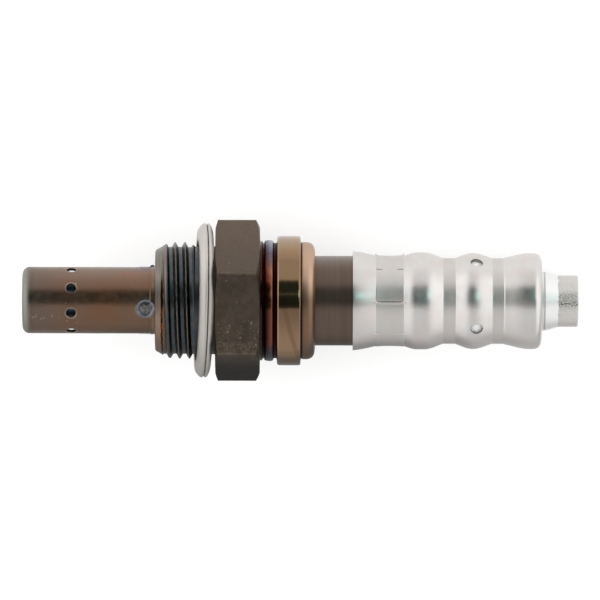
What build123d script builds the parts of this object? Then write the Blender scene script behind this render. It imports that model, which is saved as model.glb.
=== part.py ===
from build123d import *
from math import cos, radians, sin, sqrt
import os

# A heated exhaust oxygen sensor in millimetres, lying on its gasket and its rear bulge.
# X is the axis of the thread and points from the sensing tip to the cable end.
# The origin is the middle of the hexagon's underside, which clamps the sealing gasket.
# Z is up. An angle round the axis is counted from +Z towards -Y.

# Fits
fit_gap = 0.05            # air between pieces that are pressed, slid or clamped together
weld_gap = 0.02           # air between the protector tubes and the spigot that carries them
past = 1.0                # how far a cutting shape reaches past what it cuts

# Threaded housing, in front of the hexagon
thread_r = 9.0            # M18 x 1.5, crest radius
thread_length = 3.85
relief_length = 3.75      # plain neck between the thread and the hexagon
relief_depth = 0.7        # below the crests
run_in_length = 1.1
run_in_depth = 1.15       # from the crests down to the pilot
pilot_length = 0.58
pilot_chamfer = 0.15
spigot_length = 3.62
spigot_wall = 0.72
front_bore_step = 0.3     # the bore behind the spigot is this much wider

# Hexagon
hex_across_flats = 22.0
hex_height = 6.83
hex_turn = 30.0           # angle of one corner, degrees: a flat faces down
hex_bevel_inset = 1.5     # the bevels of both ends begin this far inside the corners
hex_front_bevel = 0.42    # depth of the bevel at the corners
hex_rear_bevel = 0.63

# Buckled neck, collar and rolled lip, behind the hexagon
collar_wall = 2.38
collar_rounding = 0.25
neck_root_inset = 0.78    # each inset is below the collar
neck_root_length = 0.47
front_groove_inset = 1.03
front_groove_length = 0.5
bead_inset = 0.66
bead_length = 1.1
rear_groove_inset = 0.98
rear_groove_length = 0.57
lip_setback = 0.65        # the lip's root starts this far in front of the flange that it holds
lip_root_inset = 0.86
lip_thickness = 1.58
lip_drop = 0.1            # from the root to where the outer round starts
lip_round_front = 0.75    # how far the outer round holds the line of its start
lip_round_rear = 1.05     # and of its end
lip_round_lean = 0.13
lip_clear = 0.1           # between the lip's edge and the casing tube

# Sealing gasket: one strip of sheet, folded to three layers, loose on the relief
gasket_play = 0.22        # round the thread
gasket_width = 2.88
gasket_sheet = 0.6
gasket_front_fold = 0.1   # air inside the closed front fold
gasket_rear_fold = 0.1    # air inside the open rear fold
gasket_rear_inset = 0.1   # the rear layer's rolled edge is this far inside the rim
gasket_roll_r = 0.475     # the rolled edge stands off the rear face
gasket_inner_inset = 0.1
gasket_x = -1.07          # middle of its rear face
gasket_lean_y = 2.53      # it leans about Y and Z, degrees
gasket_lean_z = -1.65

# Outer protector tube
protector_r = 5.12
protector_length = 20.42
protector_wall = 0.45
protector_corner_r = 1.1
protector_flare = 0.1
protector_foot_length = 0.6
protector_end_hole_r = 1.0
gas_hole_r = 0.78
gas_hole_count = 8
gas_hole_turn = 11.7
gas_hole_from_end = 7.4
weld_from_foot = 1.82
weld_count = 4
weld_turn = 5.8
weld_mark_r = 1.15
weld_depth = 0.08

# Inner protector tube
inner_protector_wall = 0.3
inner_protector_setback = 1.9
inner_protector_corner_r = 0.8
inner_protector_foot_inset = 0.32   # the foot starts this far behind the spigot's front
inner_protector_flare = 0.8         # length of the cone to the foot
inner_protector_step = 0.4          # the tube is this much narrower than the spigot's bore
inner_end_hole_r = 0.7
inner_gas_hole_r = 0.6
inner_gas_hole_count = 4
inner_gas_hole_from_end = 10.2

# Ceramic sensing element, closed at its tip
element_tip_gap = 1.2
element_tip_inset = 0.85  # the tip is this much narrower than the neck
element_neck_air = 0.15   # round the neck, inside the inner protector
element_neck_length = 3.12
element_front_air = 0.4   # round the front part, inside the housing
element_front_step = 0.88
element_collar_air = 0.2
element_stem_step = 2.2   # from the collar in to the stem
element_bore_r = 1.85
element_tip_wall = 1.1
element_behind_lip = 5.25

# Seat, packing and clamping stack
seat_cone_length = 2.2
seat_cone_end_x = 0.2
seat_washer_thickness = 0.3
seat_washer_margin = 0.15
collar_pocket_length = 3.4
pocket_step = 1.2         # the packing's pocket is this much wider than the element's
talc_length = 3.9
sleeve_length = 4.35
crimp_ring_thickness = 1.15
crimp_ring_width = 2.55

# Inner casing, one drawn tube with a flange
casing_inset = 0.7        # below the packing's pocket
casing_wall = 0.5
casing_bend = 0.4
casing_flange_air = 0.1
casing_visible = 5.81
casing_step_from_mouth = 0.86
casing_step_length = 0.9
casing_shoulder_length = 1.0
casing_shoulder_to_neck = 1.05
casing_past_neck = 0.7
casing_vent_r = 0.6

# Outer cover, drawn, crimped at its mouth and rolled to two necks
cover_wall = 0.4
mouth_flare = 0.73        # the mouth stands this far off the casing
mouth_length = 3.56
band_step = 0.05          # the crimped band is this much wider than the bare casing
band_length = 4.25
bulge_1_height = 0.515    # each bulge and the necks are counted from the band
bulge_1_rise = 2.0
bulge_1_top = 1.25        # the first bulge has a plain top
bulge_1_fall = 2.85
cover_neck_depth = 0.35
neck_1_length = 1.85
bulge_2_height = 0.46
bulge_2_rise = 2.7
bulge_2_fall = 3.0
neck_2_length = 1.7
bulge_3_height = 0.45
bulge_3_rise = 4.1
groove_firmness = 0.4     # how steeply a crest leaves its groove: 0 is level
cover_corner_r = 1.25
cover_shoulder_length = 0.58
cover_opening_gap = 0.09
jaw_count = 8
jaw_turn = -8.3
pinch_height = 0.16
pinch_width = 0.5
vent_count = 4
vent_r = 0.93
vent_turn = 25.1
vent_behind_peak = 0.57

# Vent filter, a porous white sleeve clamped by both necks
filter_thickness = 0.5
filter_air = 0.15         # under the second bulge, where it swells between the necks
filter_margin = 0.45

# Ceramic terminal insulator and the star ring that holds it to the shoulder
insulator_behind_element = 2.6
insulator_flange_step = 0.9
insulator_flange_length = 2.3
insulator_cavity_wall = 1.05
insulator_cavity_air = 2.7          # behind the heater rod
insulator_chamfer = 0.4
star_thickness = 0.35
star_height = 1.3
star_slots = 8
star_slot_width = 0.6

# Heater rod and terminals
heater_tip_gap = 1.0
heater_nose_r = 0.6
heater_nose_length = 4.0
heater_overhang = 5.5     # behind the element
heater_contact_length = 1.2
lead_count = 4
lead_turn = 45.0
lead_bore_inset = 0.8     # the bores' pitch circle is this far inside the cavity
terminal_bore_r = 0.85
terminal_air = 0.07
blade_thickness = 0.3
blade_width = 1.2
blade_bend = 0.5
barrel_wall = 0.2
barrel_length = 5.0
blade_length_in_bore = 4.0
clip_length = 4.6
clip_overhang = 0.9       # how far the clips reach behind the element
clip_slot = 1.0

# Rubber lead grommet
grommet_gap = 0.4         # behind the casing's end
grommet_lead_r = 0.9
grommet_pitch_r = 2.1

# Cable ferrule, crimped by a six-sided die
ferrule_r = 4.56
ferrule_wall = 1.16
ferrule_flange_width = 1.44
ferrule_flange_thickness = 0.5
ferrule_round_length = 0.37
crimp_lead_in = 2.2
crimp_length = 3.0
crimp_squeeze = 0.6       # the flats are pressed this far in
crimp_turn = -11.8
ferrule_edge = 0.2

# Radii that follow from the sizes above
relief_r = thread_r - relief_depth
pilot_r = thread_r - run_in_depth
hex_corner_r = hex_across_flats / 2 / cos(radians(30))
hex_bevel_r = hex_corner_r - hex_bevel_inset
gasket_inner_r = thread_r + gasket_play
gasket_r = gasket_inner_r + gasket_width
gasket_rear_r = gasket_r - gasket_rear_inset
spigot_r = protector_r - protector_wall - fit_gap
spigot_bore_r = spigot_r - spigot_wall
front_bore_r = spigot_bore_r + front_bore_step
inner_protector_r = spigot_bore_r - inner_protector_step
element_neck_r = inner_protector_r - inner_protector_wall - element_neck_air
element_tip_r = element_neck_r - element_tip_inset
element_front_r = front_bore_r - element_front_air
collar_pocket_r = front_bore_r + seat_cone_length
element_collar_r = collar_pocket_r - element_collar_air
element_stem_r = element_collar_r - element_stem_step
pocket_r = collar_pocket_r + pocket_step
crimp_ring_inner_r = pocket_r - fit_gap - crimp_ring_width
collar_r = pocket_r + collar_wall
casing_r = pocket_r - casing_inset
casing_flange_r = pocket_r - casing_flange_air
neck_root_r = collar_r - neck_root_inset
front_groove_r = collar_r - front_groove_inset
bead_r = collar_r - bead_inset
rear_groove_r = collar_r - rear_groove_inset
lip_edge_r = casing_r + lip_clear
lip_root_r = collar_r - lip_root_inset
cover_mouth_r = casing_r + mouth_flare
band_r = casing_r + band_step
bulge_1_r = band_r + bulge_1_height
bulge_2_r = band_r + bulge_2_height
bulge_3_r = band_r + bulge_3_height
cover_neck_r = band_r - cover_neck_depth
casing_band_r = band_r - cover_wall - fit_gap
filter_r = cover_neck_r - cover_wall - fit_gap
casing_rear_r = filter_r - filter_thickness - fit_gap
insulator_flange_r = casing_band_r - casing_wall - fit_gap
insulator_front_r = insulator_flange_r - insulator_flange_step
insulator_rear_r = casing_rear_r - casing_wall - fit_gap
insulator_cavity_r = insulator_front_r - insulator_cavity_wall
lead_pitch_r = insulator_cavity_r - lead_bore_inset
barrel_r = terminal_bore_r - terminal_air
heater_r = element_bore_r - blade_thickness - 2 * fit_gap
ferrule_bore_r = ferrule_r - ferrule_wall
ferrule_flange_r = ferrule_r + ferrule_flange_width
crimp_across_flats = 2 * (ferrule_r - crimp_squeeze)
cover_opening_r = ferrule_r + cover_opening_gap

# Places along the axis that follow from the sizes above
thread_end_x = -relief_length
thread_start_x = thread_end_x - thread_length
pilot_rear_x = thread_start_x - run_in_length
pilot_front_x = pilot_rear_x - pilot_length
spigot_front_x = pilot_front_x - spigot_length
protector_end_x = pilot_front_x - weld_gap - protector_length
inner_end_x = protector_end_x + inner_protector_setback
inner_foot_x = spigot_front_x + inner_protector_foot_inset
element_tip_x = inner_end_x + inner_protector_wall + element_tip_gap
element_neck_x = pilot_front_x - element_neck_length
element_step_x = pilot_front_x + element_front_step
heater_tip_x = element_tip_x + element_tip_wall + heater_tip_gap

pocket_floor_x = seat_cone_end_x + collar_pocket_length
talc_x = pocket_floor_x + fit_gap
sleeve_x = talc_x + talc_length + fit_gap
crimp_ring_x = sleeve_x + sleeve_length + fit_gap
casing_x = crimp_ring_x + crimp_ring_thickness + fit_gap
lip_inner_x = casing_x + casing_wall + fit_gap
bead_x = hex_height + neck_root_length + front_groove_length
collar_front_x = bead_x + bead_length + rear_groove_length
collar_rear_x = lip_inner_x - lip_setback
lip_end_x = lip_inner_x + lip_thickness

mouth_x = lip_end_x + casing_visible
band_x = mouth_x + mouth_length
band_end_x = band_x + band_length
peak_1_x = band_end_x + bulge_1_rise
peak_1_end_x = peak_1_x + bulge_1_top
neck_1_x = peak_1_end_x + bulge_1_fall
neck_1_end_x = neck_1_x + neck_1_length
peak_2_x = neck_1_end_x + bulge_2_rise
neck_2_x = peak_2_x + bulge_2_fall
neck_2_end_x = neck_2_x + neck_2_length
peak_3_x = neck_2_end_x + bulge_3_rise
cover_corner_x = peak_3_x + cover_shoulder_length
cover_end_x = cover_corner_x + cover_corner_r

casing_step_x = mouth_x + casing_step_from_mouth
casing_shoulder_end_x = neck_1_x - casing_shoulder_to_neck
casing_shoulder_x = casing_shoulder_end_x - casing_shoulder_length
casing_end_x = neck_2_end_x + casing_past_neck

flange_x = cover_end_x - cover_wall - fit_gap - ferrule_flange_thickness
grommet_end_x = flange_x - fit_gap
grommet_x = casing_end_x + grommet_gap
crimp_start_x = cover_end_x + ferrule_round_length
crimp_x = crimp_start_x + crimp_lead_in
ferrule_end_x = crimp_x + crimp_length

element_end_x = lip_inner_x + element_behind_lip
heater_end_x = element_end_x + heater_overhang
insulator_front_x = element_end_x + insulator_behind_element
insulator_bore_x = heater_end_x + insulator_cavity_air
insulator_flange_end_x = casing_shoulder_x - casing_wall
insulator_flange_x = insulator_flange_end_x - insulator_flange_length
insulator_end_x = grommet_x - fit_gap


def turned(*points):
    """A solid turned about X from a closed outline of (x, radius) points."""
    return revolve(make_face(Polyline(*points, close=True)), axis=Axis.X)


def tube(x0, x1, outer_r, inner_r):
    """A plain ring or tube between two places on the axis."""
    return turned((x0, inner_r), (x1, inner_r), (x1, outer_r), (x0, outer_r))


def folded(wall, path):
    """A ring of sheet with one wall all along its path of (x, radius) edges, turned about X."""
    return revolve(trace(path, line_width=wall), axis=Axis.X)


def around(count, turn, thing):
    """Copies of a thing set round the axis, the first at the angle turn."""
    return [Rot(X=turn + 360 / count * i) * thing for i in range(count)]


def radial_hole(x, r, reach):
    """A drill that goes from the axis straight up to the height reach, at place x."""
    return Pos(x, 0, reach / 2) * Cylinder(r, reach)


def six_sided(x, across_flats, turn):
    """A hexagon across the axis, with one corner at the angle turn."""
    face = RegularPolygon(across_flats / 2, 6, major_radius=False, rotation=30)
    return Rot(X=turn) * (Plane.YZ.offset(x) * face)


def make_housing():
    """The steel body, one piece: spigot, thread, hexagon, buckled neck, collar and rolled lip."""
    hexagon = extrude(six_sided(0, hex_across_flats, hex_turn), amount=hex_height, dir=(1, 0, 0))
    # Each bevel line runs on as far again outside the corners.
    hexagon &= turned(
        (0, 0),
        (0, hex_bevel_r),
        (2 * hex_front_bevel, hex_corner_r + hex_bevel_inset),
        (hex_height - 2 * hex_rear_bevel, hex_corner_r + hex_bevel_inset),
        (hex_height, hex_bevel_r),
        (hex_height, 0),
    )
    front = turned(
        (spigot_front_x, 0),
        (spigot_front_x, spigot_r),
        (pilot_front_x, spigot_r),
        (pilot_front_x, pilot_r - pilot_chamfer),
        (pilot_front_x + pilot_chamfer, pilot_r),
        (pilot_rear_x, pilot_r),
        (thread_start_x, thread_r),
        (thread_end_x, thread_r),
        (thread_end_x, relief_r),
        (0, relief_r),
        (0, 0),
    )
    neck = turned(
        (hex_height, 0),
        (hex_height, neck_root_r),
        (hex_height + neck_root_length, neck_root_r),
        (hex_height + neck_root_length, front_groove_r),
        (bead_x, front_groove_r),
        (bead_x, (front_groove_r + bead_r) / 2),
        (bead_x + bead_length / 4, bead_r),
        (bead_x + bead_length * 3 / 4, bead_r),
        (bead_x + bead_length, (rear_groove_r + bead_r) / 2),
        (bead_x + bead_length, rear_groove_r),
        (collar_front_x, rear_groove_r),
        (collar_front_x, 0),
    )
    collar = turned(
        (collar_front_x, 0),
        (collar_front_x, collar_r),
        (collar_rear_x, collar_r),
        (collar_rear_x, 0),
    )
    edges = collar.edges().filter_by(GeomType.CIRCLE).sort_by(SortBy.RADIUS)[-2:]
    collar = fillet(edges, collar_rounding)
    round_start = (lip_inner_x, lip_root_r - lip_drop)
    lip_outline = Curve() + [
        Polyline(
            (lip_end_x, lip_edge_r),
            (collar_rear_x, lip_edge_r),
            (collar_rear_x, lip_root_r),
            round_start,
        ),
        Bezier(
            round_start,
            (lip_inner_x + lip_round_front, lip_root_r - lip_drop - lip_round_lean),
            (lip_end_x - lip_round_lean, lip_edge_r + lip_round_rear),
            (lip_end_x, lip_edge_r),
        ),
    ]
    lip = revolve(make_face(lip_outline), axis=Axis.X)
    body = front + hexagon + neck + collar + lip
    bore = turned(
        (spigot_front_x - past, 0),
        (spigot_front_x - past, spigot_bore_r),
        (pilot_front_x, spigot_bore_r),
        (pilot_front_x, front_bore_r),
        (seat_cone_end_x - seat_cone_length, front_bore_r),
        (seat_cone_end_x, collar_pocket_r),
        (pocket_floor_x, collar_pocket_r),
        (pocket_floor_x, pocket_r),
        (lip_inner_x, pocket_r),
        (lip_inner_x, lip_edge_r),
        (lip_end_x + past, lip_edge_r),
        (lip_end_x + past, 0),
    )
    return body - bore


def make_sealing_gasket():
    """The crush gasket: a steel strip folded like an S, with its closed fold to the front."""
    half = gasket_sheet / 2
    rear = -half
    middle = rear - gasket_sheet - gasket_rear_fold
    front = middle - gasket_sheet - gasket_front_fold
    front_bend = (middle - front) / 2
    rear_bend = (rear - middle) / 2
    outer_r = gasket_r - half - front_bend
    inner_r = gasket_inner_r + half + rear_bend
    path = Curve() + [
        Line((front, gasket_inner_r + gasket_inner_inset), (front, outer_r)),
        ThreePointArc((front, outer_r), (front + front_bend, gasket_r - half), (middle, outer_r)),
        Line((middle, outer_r), (middle, inner_r)),
        ThreePointArc((middle, inner_r), (middle + rear_bend, gasket_inner_r + half), (rear, inner_r)),
        Line((rear, inner_r), (rear, gasket_rear_r - gasket_roll_r)),
    ]
    rolled_edge = Pos(rear - half + gasket_roll_r, gasket_rear_r - gasket_roll_r) * Circle(gasket_roll_r)
    ring = revolve(trace(path, line_width=gasket_sheet) + rolled_edge, axis=Axis.X)
    return Pos(gasket_x, 0, 0) * Rot(Y=gasket_lean_y) * Rot(Z=gasket_lean_z) * ring


def make_outer_protector():
    """The outer protector: a drawn tube with a closed end, gas holes and four spot welds."""
    half = protector_wall / 2
    foot_x = pilot_front_x - weld_gap
    tube_r = protector_r - half
    path = FilletPolyline(
        (protector_end_x + half, protector_end_hole_r),
        (protector_end_x + half, tube_r),
        (foot_x - protector_foot_length - protector_flare, tube_r),
        (foot_x - protector_foot_length, tube_r + protector_flare),
        (foot_x, tube_r + protector_flare),
        radius=[protector_corner_r - half, 0, 0],
    )
    tube_body = folded(protector_wall, path)
    hole = radial_hole(protector_end_x + gas_hole_from_end, gas_hole_r, protector_r + past)
    tube_body -= around(gas_hole_count, gas_hole_turn, hole)
    crater_x = foot_x - weld_from_foot
    crater = Pos(crater_x, 0, protector_r - weld_depth + past) * Cylinder(weld_mark_r, 2 * past)
    return tube_body - around(weld_count, weld_turn, crater)


def make_inner_protector():
    """The inner protector: a narrower cup, flared at its foot to fit the spigot's bore."""
    half = inner_protector_wall / 2
    foot_r = spigot_bore_r - weld_gap - half
    tube_r = inner_protector_r - half
    path = FilletPolyline(
        (inner_end_x + half, inner_end_hole_r),
        (inner_end_x + half, tube_r),
        (inner_foot_x - inner_protector_flare, tube_r),
        (inner_foot_x, foot_r),
        (pilot_front_x, foot_r),
        radius=[inner_protector_corner_r - half, 0, 0],
    )
    cup = folded(inner_protector_wall, path)
    hole = radial_hole(inner_end_x + inner_gas_hole_from_end, inner_gas_hole_r, inner_protector_r + past)
    return cup - around(inner_gas_hole_count, 0, hole)


def cone_x(r, lift):
    """Place on the seat cone at a radius, lifted square off the housing's cone."""
    return seat_cone_end_x - seat_cone_length + (r - front_bore_r) + lift * sqrt(2)


def make_seat_washer():
    """The thin conical washer that seals the element on the housing's seat."""
    low = front_bore_r + seat_washer_margin
    high = collar_pocket_r - seat_washer_margin - seat_washer_thickness
    under = fit_gap
    over = fit_gap + seat_washer_thickness
    return turned(
        (cone_x(low, under), low),
        (cone_x(high, under), high),
        (cone_x(high, over), high),
        (cone_x(low, over), low),
    )


def make_sensing_element():
    """The ceramic thimble: tapered nose, sealing collar on the cone, and a plain stem."""
    lift = 2 * fit_gap + seat_washer_thickness
    nose = Curve() + [
        Line((element_tip_x, 0), (element_tip_x, 0.01)),
        ThreePointArc(
            (element_tip_x, 0.01),
            (element_tip_x + element_tip_r * (1 - sin(radians(45))), element_tip_r * sin(radians(45))),
            (element_tip_x + element_tip_r, element_tip_r),
        ),
        Polyline(
            (element_tip_x + element_tip_r, element_tip_r),
            (element_neck_x, element_neck_r),
            (element_step_x, element_neck_r),
            (element_step_x + element_front_r - element_neck_r, element_front_r),
            (cone_x(element_front_r, lift), element_front_r),
            (cone_x(element_collar_r, lift), element_collar_r),
            (pocket_floor_x, element_collar_r),
            (pocket_floor_x, element_stem_r),
            (element_end_x, element_stem_r),
            (element_end_x, 0),
            (element_tip_x, 0),
        ),
    ]
    body = revolve(make_face(nose), axis=Axis.X)
    bore_x = element_tip_x + element_tip_wall
    bore = turned(
        (bore_x, 0),
        (bore_x + element_tip_r / 2, element_bore_r - element_tip_inset / 2),
        (element_neck_x, element_bore_r),
        (element_end_x + past, element_bore_r),
        (element_end_x + past, 0),
    )
    return body - bore


def make_heater_rod():
    """The ceramic heater rod inside the element, with bevelled ends."""
    bevel = heater_r / 4
    return turned(
        (heater_tip_x, 0),
        (heater_tip_x, heater_nose_r),
        (heater_tip_x + heater_nose_length, heater_r),
        (heater_end_x - bevel, heater_r),
        (heater_end_x, heater_r - bevel),
        (heater_end_x, 0),
    )


def stack_ring(x, length, inner_r):
    """A ring of the packed stack between the element's stem and the housing's pocket."""
    return tube(x, x + length, pocket_r - fit_gap, inner_r)


def make_inner_casing():
    """The inner casing: one drawn tube, flanged at its foot and stepped down twice."""
    half = casing_wall / 2
    path = FilletPolyline(
        (casing_x + half, casing_flange_r),
        (casing_x + half, casing_r - half),
        (casing_step_x, casing_r - half),
        (casing_step_x + casing_step_length, casing_band_r - half),
        (casing_shoulder_x, casing_band_r - half),
        (casing_shoulder_end_x, casing_rear_r - half),
        (casing_end_x, casing_rear_r - half),
        radius=casing_bend,
    )
    shaft = folded(casing_wall, path)
    vent = radial_hole(peak_2_x, casing_vent_r, casing_rear_r + past)
    return shaft - around(vent_count, vent_turn, vent)


def swelling(x0, r0, x1, r1):
    """A rounded stretch between a rolled groove and a crest, level at the crest only."""
    third = (x1 - x0) / 3
    if r0 < r1:
        near, far = r0 + groove_firmness * (r1 - r0), r1
    else:
        near, far = r0, r1 + groove_firmness * (r0 - r1)
    return Bezier((x0, r0), (x0 + third, near), (x1 - third, far), (x1, r1))


def cover_line(inset):
    """The cover's outline from its mouth to its end face, moved inwards by inset."""
    places = [
        (mouth_x, cover_mouth_r),
        (band_x, band_r),
        (band_end_x, band_r),
        (peak_1_x, bulge_1_r),
        (peak_1_end_x, bulge_1_r),
        (neck_1_x, cover_neck_r),
        (neck_1_end_x, cover_neck_r),
        (peak_2_x, bulge_2_r),
        (neck_2_x, cover_neck_r),
        (neck_2_end_x, cover_neck_r),
        (peak_3_x, bulge_3_r),
        (cover_corner_x, bulge_3_r),
    ]
    line = []
    for (x0, r0), (x1, r1) in zip(places, places[1:]):
        if r0 == r1:
            line.append(Line((x0, r0 - inset), (x1, r1 - inset)))
        else:
            line.append(swelling(x0, r0 - inset, x1, r1 - inset))
    round_r = cover_corner_r - inset
    top_r = bulge_3_r - inset
    line.append(
        ThreePointArc(
            (cover_corner_x, top_r),
            (cover_corner_x + round_r * sin(radians(45)), top_r - round_r * (1 - cos(radians(45)))),
            (cover_corner_x + round_r, top_r - round_r),
        )
    )
    return line


def core(line):
    """The solid that an outline encloses, down to the axis."""
    end = line[-1] @ 1
    start = line[0] @ 0
    rest = Polyline((end.X, end.Y), (end.X, 0), (start.X, 0), (start.X, start.Y))
    return revolve(make_face(Curve() + line + [rest]), axis=Axis.X)


def make_outer_cover():
    """The outer cover: bulges, necks, the crimped band with its pinch lines, and the vents."""
    cover = core(cover_line(0)) - core(cover_line(cover_wall))
    cover -= tube(cover_end_x - cover_wall - past, cover_end_x + past, cover_opening_r, 0)
    foot_r = band_r - cover_wall / 2
    pinch_face = Polygon(
        (-pinch_width / 2, foot_r),
        (pinch_width / 2, foot_r),
        (0, band_r + pinch_height),
        align=None,
    )
    pinch = extrude(Plane.YZ.offset(band_x) * pinch_face, amount=band_length, dir=(1, 0, 0))
    for ridge in around(jaw_count, jaw_turn, pinch):
        cover += ridge
    vent = radial_hole(peak_2_x + vent_behind_peak, vent_r, bulge_2_r + past)
    return cover - around(vent_count, vent_turn, vent)


def filter_line(inset):
    """The vent filter's outline, moved inwards by inset."""
    r = filter_r - inset
    swell_r = bulge_2_r - cover_wall - filter_air - inset
    return [
        Line((neck_1_x - filter_margin, r), (neck_1_end_x, r)),
        swelling(neck_1_end_x, r, peak_2_x, swell_r),
        swelling(peak_2_x, swell_r, neck_2_x, r),
        Line((neck_2_x, r), (neck_2_end_x + filter_margin, r)),
    ]


def make_vent_filter():
    """The porous sleeve: clamped by the cover's two necks and swollen under the vents."""
    return core(filter_line(0)) - core(filter_line(filter_thickness))


def make_terminal_insulator():
    """The ceramic block that carries the terminals, with its flange on the casing's shoulder."""
    body = turned(
        (insulator_front_x, 0),
        (insulator_front_x, insulator_front_r - insulator_chamfer),
        (insulator_front_x + insulator_chamfer, insulator_front_r),
        (insulator_flange_x, insulator_front_r),
        (insulator_flange_x, insulator_flange_r),
        (insulator_flange_end_x - insulator_chamfer, insulator_flange_r),
        (insulator_flange_end_x, insulator_flange_r - insulator_chamfer),
        (insulator_flange_end_x, insulator_rear_r),
        (insulator_end_x, insulator_rear_r),
        (insulator_end_x, 0),
    )
    body -= tube(insulator_front_x - past, insulator_bore_x, insulator_cavity_r, 0)
    length = insulator_end_x - insulator_bore_x + 2 * past
    bore = Pos(insulator_bore_x - past + length / 2, 0, lead_pitch_r) * (
        Rot(Y=90) * Cylinder(terminal_bore_r, length)
    )
    return body - around(lead_count, lead_turn, bore)


def make_insulator_spring():
    """The conical star ring that presses the insulator's flange against the shoulder."""
    outer_r = insulator_flange_r
    inner_r = insulator_front_r + fit_gap
    rear_x = insulator_flange_x - fit_gap
    ring = turned(
        (rear_x - star_thickness, inner_r),
        (rear_x, inner_r),
        (rear_x - star_height + star_thickness, outer_r),
        (rear_x - star_height, outer_r),
    )
    slot_depth = (outer_r - inner_r) / 2
    slot = Pos(rear_x, 0, outer_r) * Box(4 * star_height, star_slot_width, 2 * slot_depth)
    return ring - around(star_slots, 0, slot)


def blade(path_points):
    """A flat terminal leg, bent along (x, radius) points, standing over the +Z side of the axis."""
    path = FilletPolyline(*path_points, radius=blade_bend)
    strip = extrude(trace(path, line_width=blade_thickness), amount=blade_width / 2, both=True)
    return Rot(X=90) * strip


def barrel():
    """The crimp barrel at the rear end of each terminal, inside its bore."""
    x0 = insulator_bore_x + blade_length_in_bore
    ring = Cylinder(barrel_r, barrel_length) - Cylinder(barrel_r - barrel_wall, barrel_length)
    return Pos(x0 + barrel_length / 2, 0, lead_pitch_r) * (Rot(Y=90) * ring)


def terminal(contact_points, index):
    """One terminal: its leg from the contact to the bore, and its barrel, at its own angle."""
    in_barrel = (insulator_bore_x + blade_length_in_bore + barrel_wall, lead_pitch_r)
    piece = blade(list(contact_points) + [in_barrel]) + barrel()
    return Rot(X=lead_turn + 360 / lead_count * index) * piece


def make_heater_terminal(index):
    """A spring leg that presses on the heater rod's rear end."""
    r = heater_r + fit_gap + blade_thickness / 2
    contact = [(heater_end_x - heater_contact_length, r), (heater_end_x, r)]
    return terminal(contact + [(insulator_bore_x - blade_bend, lead_pitch_r)], index)


def split_sleeve(x0, length, outer_r, inner_r, index):
    """A springy sleeve with a lengthwise slot on the side away from its leg."""
    turn = lead_turn + 360 / lead_count * index
    sleeve = tube(x0, x0 + length, outer_r, inner_r)
    slot = Pos(x0 + length / 2, 0, -outer_r) * Box(2 * length, clip_slot, outer_r)
    return sleeve - Rot(X=turn) * slot


def clip_terminal(outer_r, inner_r, index):
    """A split sleeve that grips the element's rear end, with a leg that runs on to its bore."""
    end_x = element_end_x + clip_overhang
    sleeve = split_sleeve(end_x - clip_length, clip_length, outer_r, inner_r, index)
    r = (inner_r + outer_r) / 2
    leg_start = (element_end_x + blade_thickness, r)
    leg = terminal([leg_start, (end_x, r), (insulator_front_x + blade_bend, lead_pitch_r)], index)
    return sleeve + leg


def make_signal_terminal_inner(index):
    """The terminal of the element's inner electrode, in the bore round the heater rod."""
    return clip_terminal(element_bore_r - fit_gap, heater_r + fit_gap, index)


def make_signal_terminal_outer(index):
    """The terminal of the element's outer electrode, round the stem."""
    inner_r = element_stem_r + fit_gap
    return clip_terminal(inner_r + blade_thickness, inner_r, index)


def make_lead_grommet():
    """The rubber grommet that fills the cover's last bulge, with a hole for each lead."""
    plug = core(cover_line(cover_wall + fit_gap))
    plug &= tube(grommet_x, grommet_end_x, bulge_3_r, 0)
    length = grommet_end_x - grommet_x + 2 * past
    hole = Pos((grommet_x + grommet_end_x) / 2, 0, grommet_pitch_r) * (
        Rot(Y=90) * Cylinder(grommet_lead_r, length)
    )
    return plug - around(lead_count, lead_turn, hole)


def make_cable_ferrule():
    """The cable ferrule: a flanged stub whose end is crimped to a hexagon."""
    stub = tube(flange_x, ferrule_end_x, ferrule_r, 0)
    die = loft([
        six_sided(crimp_start_x, 2 * ferrule_r, crimp_turn).face(),
        six_sided(crimp_x, crimp_across_flats, crimp_turn).face(),
    ])
    die += extrude(six_sided(crimp_x, crimp_across_flats, crimp_turn), amount=crimp_length, dir=(1, 0, 0))
    crimped_r = crimp_across_flats / 2 / cos(radians(30))
    end_bevel = turned(
        (crimp_start_x, 0),
        (crimp_start_x, crimped_r + past),
        (ferrule_end_x - ferrule_edge - past, crimped_r + past),
        (ferrule_end_x, crimped_r - ferrule_edge),
        (ferrule_end_x, 0),
    )
    crimped = stub & die & end_bevel
    plain = tube(flange_x, crimp_start_x, ferrule_r, 0)
    flange = tube(flange_x, flange_x + ferrule_flange_thickness, ferrule_flange_r, 0)
    bore = tube(flange_x - past, ferrule_end_x + past, ferrule_bore_r, 0)
    mouth = turned(
        (ferrule_end_x - ferrule_edge, 0),
        (ferrule_end_x - ferrule_edge, ferrule_bore_r),
        (ferrule_end_x + past, ferrule_bore_r + ferrule_edge + past),
        (ferrule_end_x + past, 0),
    )
    return plain + crimped + flange - bore - mouth


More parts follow.
